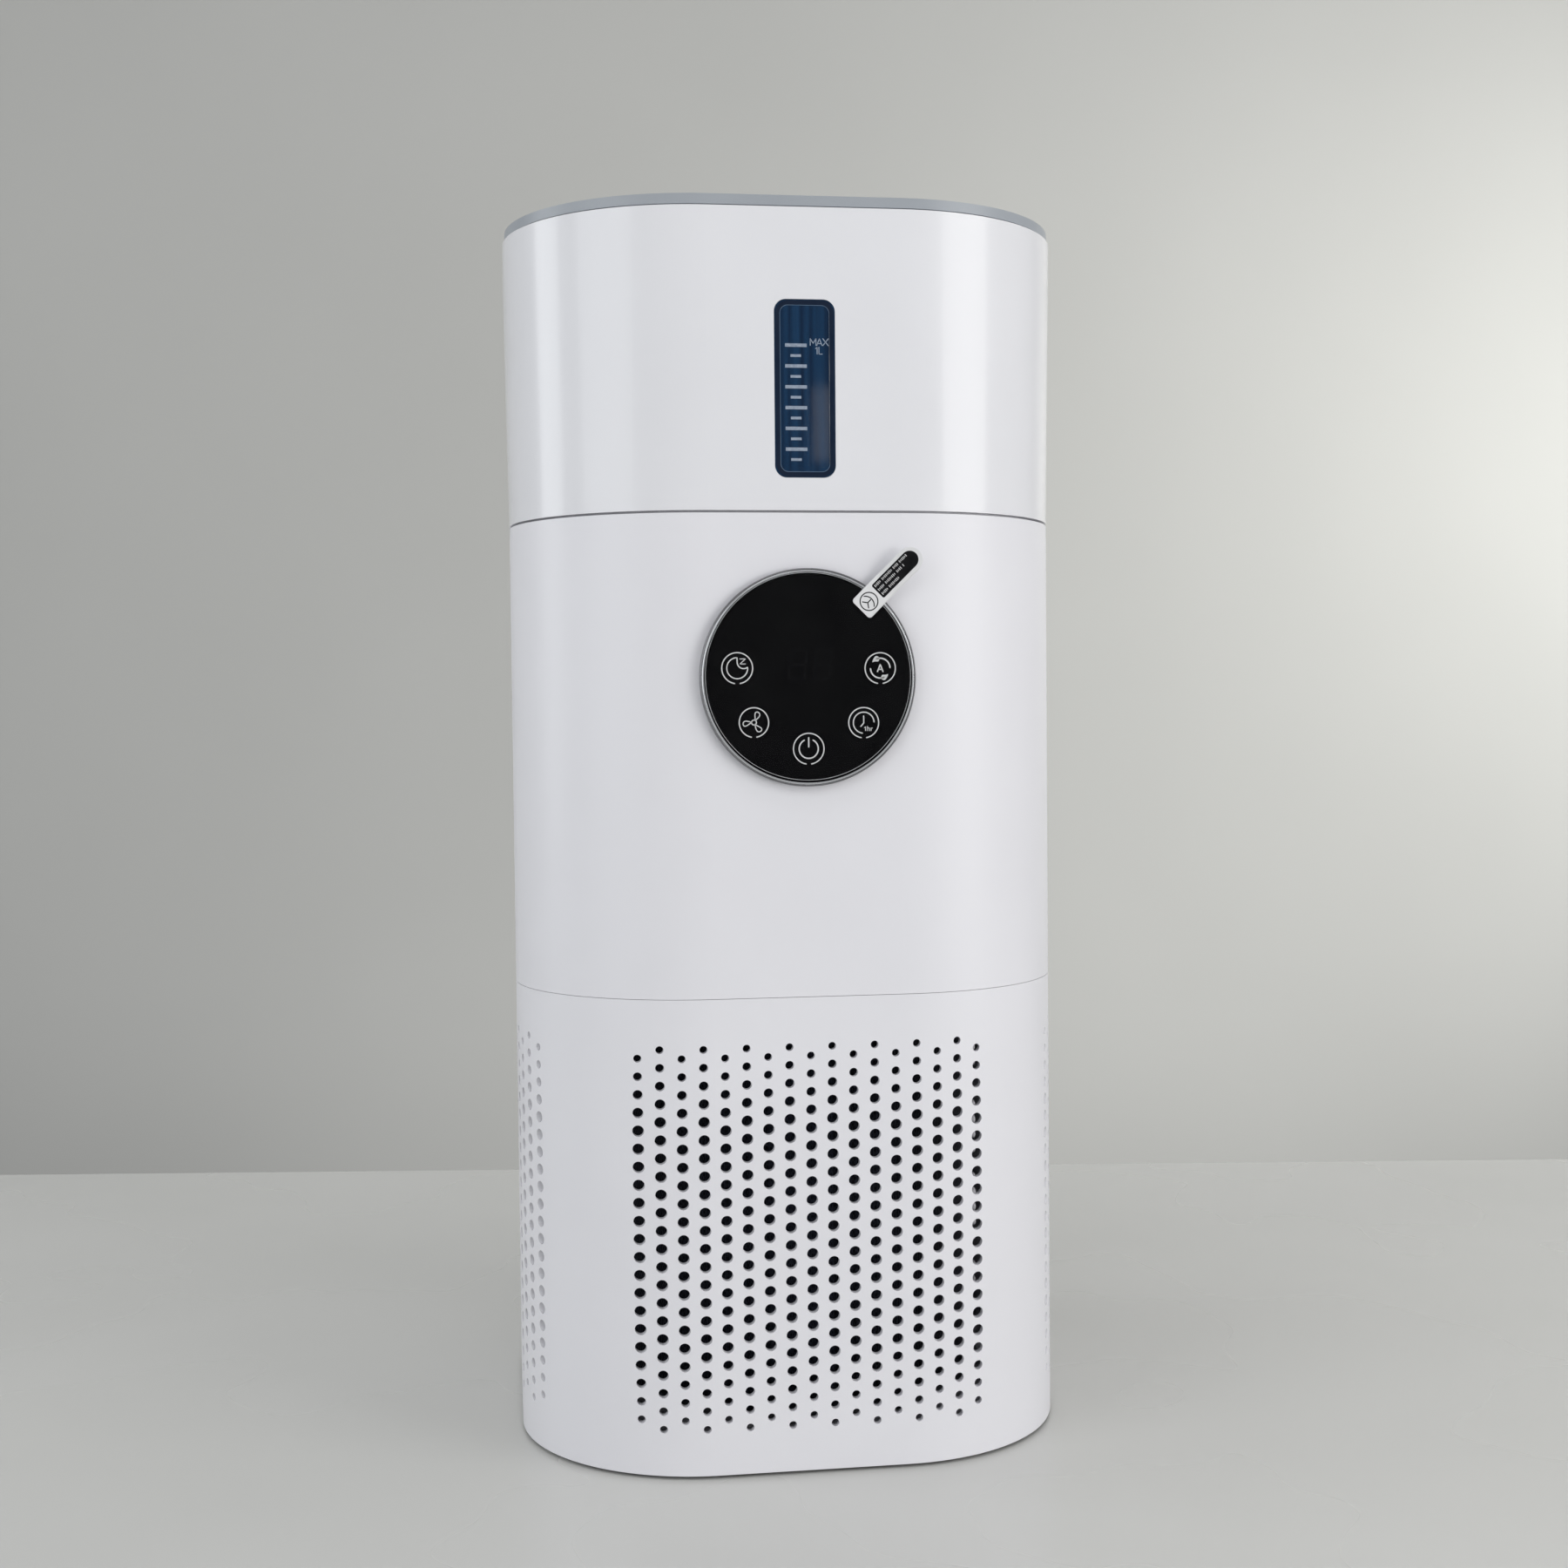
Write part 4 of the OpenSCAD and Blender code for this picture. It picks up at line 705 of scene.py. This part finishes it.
# Three rows of small upright ticks in groups, standing for small print; every third tick is a short one.
def rulingPaths(look):
    paths = []
    for across, stop in look["rows"]:
        at = look["start"]
        for word in look["words"]:
            for tick in range(word):
                if at < stop:
                    half = look["tall"] / 2 * (look["short"] if tick % 3 == 1 else 1.0)
                    stroke = linePath((at, across - half), (at, across + half), count=2)
                    paths.append((stroke, look["pen"], "square"))
                at += look["pitch"]
            at += look["pitch"]
    return paths


tabStroke("tabLines", rulingPaths(rulingLook), "tickGrey", tabLook)

iconLook = {"centre": (3.9, 0.0), "ring": 2.95, "pen": 0.36}


# A ring with a bow and a forked line inside it.
def iconPaths(look):
    x, ring, pen = look["centre"][0], look["ring"], look["pen"]
    return [(arcPath(ring, 0, 354, look["centre"], 60), pen, "loop"),
            (arcPath(ring, -52, 52, (x - 1.75, 0), 20), pen, "round"),
            (linePath((x - 1.6, 1.4), (x - 0.6, 0), (x - 1.6, -1.4)), pen, "round"),
            (linePath((x - 0.6, 0), (x + 0.8, 0)), pen, "round")]


tabStroke("tabIcon", iconPaths(iconLook), "labelBlack", tabLook)
print("film and tab laid")


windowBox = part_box("tank_window")
levelLook = {
    "first": 372.3, "step": 6.72, "count": 6,
    "long": (-6.45, 0.68, 1.1), "short": (-4.7, -1.2, 0.86),    # left end, right end and width
    "line": (1.8, 0.14), "rim": (0.95, 1.5), "corner": 4.4,     # line and rim: inset from the edge and width
    "letters": (1.85, 372.3), "tall": 2.2, "pen": 0.28, "print": 0.03,
}


# Origin, up and outward direction of the pane's leaning front, from its two front edges.
def windowPlane(edge=0.4 * mm):
    co = np.array([v.co for v in nodes["tank_window"].data.vertices])
    high = co[co[:, 2] > co[:, 2].max() - edge]
    under = co[co[:, 2] < co[:, 2].min() + edge]
    a, b = high[high[:, 1].argmin()], under[under[:, 1].argmin()]
    up = np.array([0, a[1] - b[1], a[2] - b[2]])
    up = up / np.linalg.norm(up)
    out = np.array([0, -up[2], up[1]])
    return np.array([0, b[1], b[2]]), up, out


paneFoot, paneUp, paneOut = windowPlane()


# From (right, height above the ground, out) in millimetres to the pane's front.
def onPane(points):
    p = np.asarray(points, float) * mm
    rise = (p[:, 1] - paneFoot[2]) / paneUp[2]
    across = np.stack([p[:, 0], 0 * rise, 0 * rise], 1)
    return paneFoot + across + rise[:, None] * paneUp + p[:, 2:3] * paneOut


# Long and short bars in turn, from the highest level down.
def levelPaths(look):
    paths = []
    for i in range(look["count"]):
        z = look["first"] - look["step"] * i
        for (x0, x1, thick), height in ((look["long"], z), (look["short"], z - look["step"] / 2)):
            paths.append((linePath((x0, height), (x1, height)), thick, "square"))
    return paths


# MAX over 1L, the mark of the highest water level: each stroke's left side, foot, width and corners. Foot and
# corners are shares of the letter height, and the corners' first number is a share of the width.
def letterPaths(look):
    x, z = look["letters"]
    tall, pen = look["tall"], look["pen"]
    letters = [(0, 0, 1.9, ((0, 0), (0, 1), (0.5, 0.3), (1, 1), (1, 0))),
               (2.15, 0, 1.75, ((0, 0), (0.5, 1), (1, 0))),
               (2.5, 0.28, 1.05, ((0, 0), (1, 0))),
               (4.15, 0, 1.8, ((0, 0), (1, 1))),
               (4.15, 0, 1.8, ((0, 1), (1, 0))),
               (1.75, -1.25, 0.5, ((0, 0.8), (1, 1), (1, 0))),
               (2.85, -1.25, 1.05, ((0, 1), (0, 0), (1, 0)))]
    paths = []
    for left, low, wide, corners in letters:
        points = [(x + left + wide * a, z + tall * (low + b)) for a, b in corners]
        paths += [(linePath(p, q), pen, "round") for p, q in zip(points, points[1:])]
    return paths


# Rounded rectangle inset from the pane's edge.
def framePath(look, inset):
    x1 = windowBox[1].x / mm - inset
    z0, z1 = windowBox[0].z / mm + inset, windowBox[1].z / mm - inset
    r = look["corner"] - inset
    x, low, high = x1 - r, z0 + r, z1 - r
    corners = [((x, high), 0), ((-x, high), 90), ((-x, low), 180), ((x, low), 270)]
    return np.concatenate([arcPath(r, a, a + 90, c, 10) for c, a in corners])


# A painted highlight: a pale stroke down the right-hand side of that rectangle, where the moulded edge
# catches the light.
def highlightPath(look, inset):
    x1 = windowBox[1].x / mm - inset
    return linePath((x1, windowBox[1].z / mm - look["corner"]), (x1, windowBox[0].z / mm + look["corner"]))


lineInset, linePen = levelLook["line"]
rimInset, rimPen = levelLook["rim"]
windowPrint = {
    "levelMarks": (levelPaths(levelLook), "markGrey"),
    "levelLetters": (letterPaths(levelLook), "markGrey"),
    "windowLine": ([(framePath(levelLook, lineInset), linePen, "loop")], "lineBlue"),
    # A painted highlight on the pane's right-hand edge.
    "windowEdgeHighlight": ([(highlightPath(levelLook, lineInset), linePen, "round")], "paintedEdgeGlint"),
    "windowRim": ([(framePath(levelLook, rimInset), rimPen, "loop")], "rimBlue"),
}
for name, (paths, finish) in windowPrint.items():
    points, faces = strokeSolid(paths, levelLook["print"])
    finishPiece(fixNormals(addMesh(name, onPane(points), faces, False)), finish, "tank", "label")
print("level window marked")


# Sharp is how near the folds come to a true zigzag. The core gap keeps the filter's folds off the carbon.
pleatLook = {
    "filter": {"folds": 56, "wall": 0.7 * mm, "sharp": 0.985, "coreGap": 0.8 * mm},
    "wick": {"folds": 60, "wall": 1.2 * mm, "sharp": 0.97, "depth": 13 * mm},
    "rows": 14, "perFold": 14,
}


# A wall folded into pleats: radius = middle + half depth * soft triangle wave(folds * angle). The wall is
# given its thickness outwards and inwards, and both ends are closed.
def pleatedTube(name, look, outer, inner, z0, z1):
    folds, wall, sharp, rows = look["folds"], look["wall"], look["sharp"], pleatLook["rows"]
    a = fullTurn(folds * pleatLook["perFold"])
    wave = np.arcsin(sharp * np.sin(folds * a)) / np.arcsin(sharp)
    z = np.linspace(z0, z1, rows)[:, None]
    r = (outer + inner) / 2 + (outer - inner - wall) / 2 * wave[None, :]
    points = np.concatenate([roundGrid(r + side, a, z).reshape(-1, 3) for side in (wall / 2, -wall / 2)])
    cols, size = len(a), rows * len(a)
    faces = gridFaces(rows, cols, False, True).tolist() + gridFaces(rows, cols, False, True, size).tolist()
    j = np.arange(cols)
    k = (j + 1) % cols
    for edge in (0, (rows - 1) * cols):
        faces += np.stack([edge + j, edge + k, edge + k + size, edge + j + size], 1).tolist()
    return fixNormals(addMesh(name, points, faces))


low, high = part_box("filter_media")
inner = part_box("carbon_layer")[1].x + pleatLook["filter"]["coreGap"]
filterPleats = pleatedTube("filterPleats", pleatLook["filter"], high.x, inner, low.z, high.z)
finishPiece(filterPleats, "filterPaper", "filter", "filter_paper", "filter_media")

low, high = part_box("wick_media")
inner = high.x - pleatLook["wick"]["depth"]
wickPleats = pleatedTube("wickPleats", pleatLook["wick"], high.x, inner, low.z, high.z)
finishPiece(wickPleats, "wickFibre", "grille", "wick_blue", "wick_media")

netLook = {"skin": 0.25 * mm, "swell": 0.1 * mm, "thickness": 0.45 * mm, "perFold": 5, "rows": 40}
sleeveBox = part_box("prefilter_sleeve")


# The sleeve round the pleats: a tube stretched over them, so its skin swells a little at every fold,
# radius = outer - skin + swell cos(folds * angle).
def netSleeve(look, folds):
    a = fullTurn(look["perFold"] * folds)
    z = np.linspace(sleeveBox[0].z, sleeveBox[1].z, look["rows"])[:, None]
    r = sleeveBox[1].x - look["skin"] + look["swell"] * np.cos(folds * a)[None, :]
    grid = np.concatenate([roundGrid(r, a, z), roundGrid(r - look["thickness"], a, z)[::-1]])
    return fixNormals(gridSurface("netSleeve", grid, True, True))


sleeve = netSleeve(netLook, pleatLook["filter"]["folds"])
finishPiece(sleeve, "filterNet", "filter", "filter_mesh", "prefilter_sleeve")

foamLook = {"width": 8 * mm, "crown": 0.62, "steps": 25}


# Foam gasket: a flat foot and a crowned top. Its section is half a superellipse, |cos|^crown by |sin|^crown.
def foamRing(look):
    low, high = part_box("filter_seal")
    half = look["width"] / 2
    t = np.linspace(0, np.pi, look["steps"])
    r = high.x - half + half * np.sign(np.cos(t)) * np.abs(np.cos(t)) ** look["crown"]
    h = low.z + (high.z - low.z) * np.sin(t) ** look["crown"]
    return fixNormals(lathe("foamSeal", np.stack([r, h], 1)))


foamSeal = finishPiece(foamRing(foamLook), "sealFoam", "filter", "silicone", "filter_seal")

carbonLook = {"wall": 8 * mm, "dent": 0.5 * mm, "columns": 36, "rows": 20, "perColumn": 8, "perRow": 6}


# Carbon foam round the core, quilted: its bore bulges between stitches, bore = inner + dent (1 - sqrt swell),
# with swell = |cos(columns / 2 * angle) cos(pi * rows * height)|.
def carbonTube(look):
    low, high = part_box("carbon_layer")
    a = fullTurn(look["perColumn"] * look["columns"])
    z = np.linspace(low.z, high.z, look["perRow"] * look["rows"])[:, None]
    share = (z - low.z) / (high.z - low.z)
    swell = np.abs(np.cos(look["columns"] / 2 * a)[None, :] * np.cos(np.pi * look["rows"] * share))
    bore = high.x - look["wall"] + look["dent"] * (1 - np.sqrt(swell))
    grid = np.concatenate([roundGrid(high.x + 0 * bore, a, z), roundGrid(bore, a, z)[::-1]])
    return fixNormals(gridSurface("carbonTube", grid, True, True))


carbon = finishPiece(carbonTube(carbonLook), "carbonFoam", "filter", "carbon", "carbon_layer")

ribbonLook = {"thickness": 0.26 * mm, "setIn": 0.5 * mm, "columns": 24, "runRows": 30, "foldRows": 12}


# Pull ribbon folded back on itself: its middle line runs in, turns through a half circle and runs out again,
# and the cloth is that line offset to both sides by half its thickness.
def pullRibbon(look):
    low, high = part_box("filter_strap")
    half = look["thickness"] / 2
    fold = (high.z - low.z - 2 * half) / 2
    x = np.linspace(low.x, high.x, look["columns"])
    run = np.linspace(low.y + look["setIn"], high.y - fold - half, look["runRows"])
    a = np.linspace(-np.pi / 2, np.pi / 2, look["foldRows"])[1:-1]
    y = np.concatenate([run, run[-1] + fold * np.cos(a), run[::-1]])
    lower, upper = low.z + half + 0 * run, high.z - half + 0 * run
    z = np.concatenate([lower, (low.z + high.z) / 2 + fold * np.sin(a), upper])
    dy, dz = np.gradient(y), np.gradient(z)
    size = np.hypot(dy, dz)
    ny, nz = -dz / size, dy / size
    sides = [np.stack(np.broadcast_arrays(x[None, :], (y + side * ny)[:, None], (z + side * nz)[:, None]), -1)
             for side in (half, -half)]
    ribbon = np.concatenate([sides[0], sides[1][::-1]])
    length = np.hypot(np.diff(y), np.diff(z)).sum()
    return fixNormals(closedSheet("pullRibbon", ribbon)), (high.x - low.x, length)


ribbon, ribbonSize = pullRibbon(ribbonLook)
finishPiece(ribbon, "strapRibbon", "filter", "strap_blue", "filter_strap")

sealLook = {"width": 4 * mm, "rest": 0.35, "steps": 33}


# Silicone ring in its groove: a flat foot and two round lips, height = rest + (1 - rest) |sin| across them.
def ductSeal(look):
    low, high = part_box("duct_seal")
    t = np.linspace(0, 1, look["steps"])
    r = high.x - look["width"] * t
    h = low.z + (high.z - low.z) * (look["rest"] + (1 - look["rest"]) * np.abs(np.sin(2 * np.pi * t)))
    profile = np.concatenate([[[high.x, low.z]], np.stack([r, h], 1), [[high.x - look["width"], low.z]]])
    return fixNormals(lathe("ductSeal", profile))


finishPiece(ductSeal(sealLook), "sealSilicone", "main", "silicone", "duct_seal")
print("filter and seals made")


stageLook = {
    "tableBack": 0.365, "tableHalf": 2.2, "tableFront": 1.6, "thickness": 0.04, "round": 0.01, "turn": -7.8,
    "wallY": 1.25, "wallHalf": 3.0, "wallTop": 2.2, "wallLow": -0.8,
}


# A pale table with a rounded back edge, and a wall behind it.
def makeStage(look):
    t = np.linspace(0, np.pi / 2, 8)
    edge = np.stack([look["tableBack"] + look["round"] * (np.sin(t) - 1), look["round"] * (np.cos(t) - 1)], 1)
    section = np.concatenate([[[-look["tableFront"], 0.0]], edge, [[look["tableBack"], -look["thickness"]]]])
    x = np.linspace(-look["tableHalf"], look["tableHalf"], 2)[:, None]
    y, z = section.T
    c, s = math.cos(math.radians(look["turn"])), math.sin(math.radians(look["turn"]))
    grid = np.stack(np.broadcast_arrays(x * c - y * s, x * s + y * c, z), -1)
    table = gridSurface("table", grid[:, ::-1])
    wx = np.linspace(-look["wallHalf"], look["wallHalf"], 2)[:, None]
    wz = np.linspace(look["wallLow"], look["wallTop"], 2)[None, :]
    wall = gridSurface("wall", np.stack(np.broadcast_arrays(wx, look["wallY"], wz), -1))
    table.data.materials.append(finishes["tableTop"])
    wall.data.materials.append(finishes["wallPaint"])


makeStage(stageLook)

# Each is turned to its aim. One that isn't mirrored gives light, but glossy surfaces show no image of it.
lightLook = {
    "keyRight": {"place": (1.3, -1.0, 0.65), "aim": (0, 0, 0.2), "size": (0.9, 1.3), "power": 9.9,
                 "colour": (1, 0.995, 0.98)},
    "keyLow": {"place": (1.1, -1.5, 0.15), "aim": (0, 0, 0.15), "size": (0.9, 0.4), "power": 5.2,
               "mirrored": False},
    "fillLeft": {"place": (-1.35, -0.9, 0.7), "aim": (0, 0, 0.22), "size": (1.0, 1.4), "power": 6.6,
                 "colour": (0.95, 0.98, 1)},
    "leftSide": {"place": (-1.4, 0.2, 0.6), "aim": (0, 0, 0.25), "size": (0.5, 1.0), "power": 3.6,
                 "colour": (0.95, 0.98, 1)},
    "frontHigh": {"place": (-0.1, -1.7, 1.9), "aim": (0, 0, 0.2), "size": (1.6, 1.0), "power": 5.2},
    "overhead": {"place": (0.0, -0.1, 1.7), "aim": (0, 0, 0), "size": (1.4, 1.2), "power": 7.4},
    "glowBack": {"place": (1.0, 0.45, 0.6), "aim": (0.8, 1.25, 0.5), "size": (0.5, 0.5), "power": 3.6,
                 "colour": (1, 1, 0.97), "mirrored": False},
    "glowRight": {"place": (1.4, 0.6, 0.5), "aim": (1.1, 1.25, 0.4), "size": (0.4, 0.4), "power": 5.6,
                  "colour": (1, 1, 0.97), "mirrored": False},
    "paneGlint": {"place": (0.338, -2.2, 0.59), "aim": (0, -0.1, 0.35), "size": (0.022, 0.1), "power": 0.02,
                  "colour": (1, 0.9, 0.8)},
    "wallUp": {"place": (0.35, 0.85, -0.3), "aim": (0.35, 1.25, 0.5), "size": (1.2, 0.2), "power": 1.4,
               "colour": (1, 1, 0.97), "mirrored": False},
}
for name, look in lightLook.items():
    data = bpy.data.lights.new(name, "AREA")
    data.shape = "RECTANGLE"
    data.size, data.size_y = look["size"]
    data.energy = look["power"]
    data.color = look.get("colour", (1, 1, 1))
    light = bpy.data.objects.new(name, data)
    bpy.context.scene.collection.objects.link(light)
    place = Vector(look["place"])
    light.location = place
    light.rotation_euler = (Vector(look["aim"]) - place).to_track_quat("-Z", "Y").to_euler()
    light.visible_camera = False
    light.visible_glossy = look.get("mirrored", True)

world = bpy.data.worlds.new("room")
bpy.context.scene.world = world
world.use_nodes = True
world.node_tree.nodes["Background"].inputs["Color"].default_value = (0.75, 0.76, 0.78, 1)
world.node_tree.nodes["Background"].inputs["Strength"].default_value = 0.47
print("stage lit")
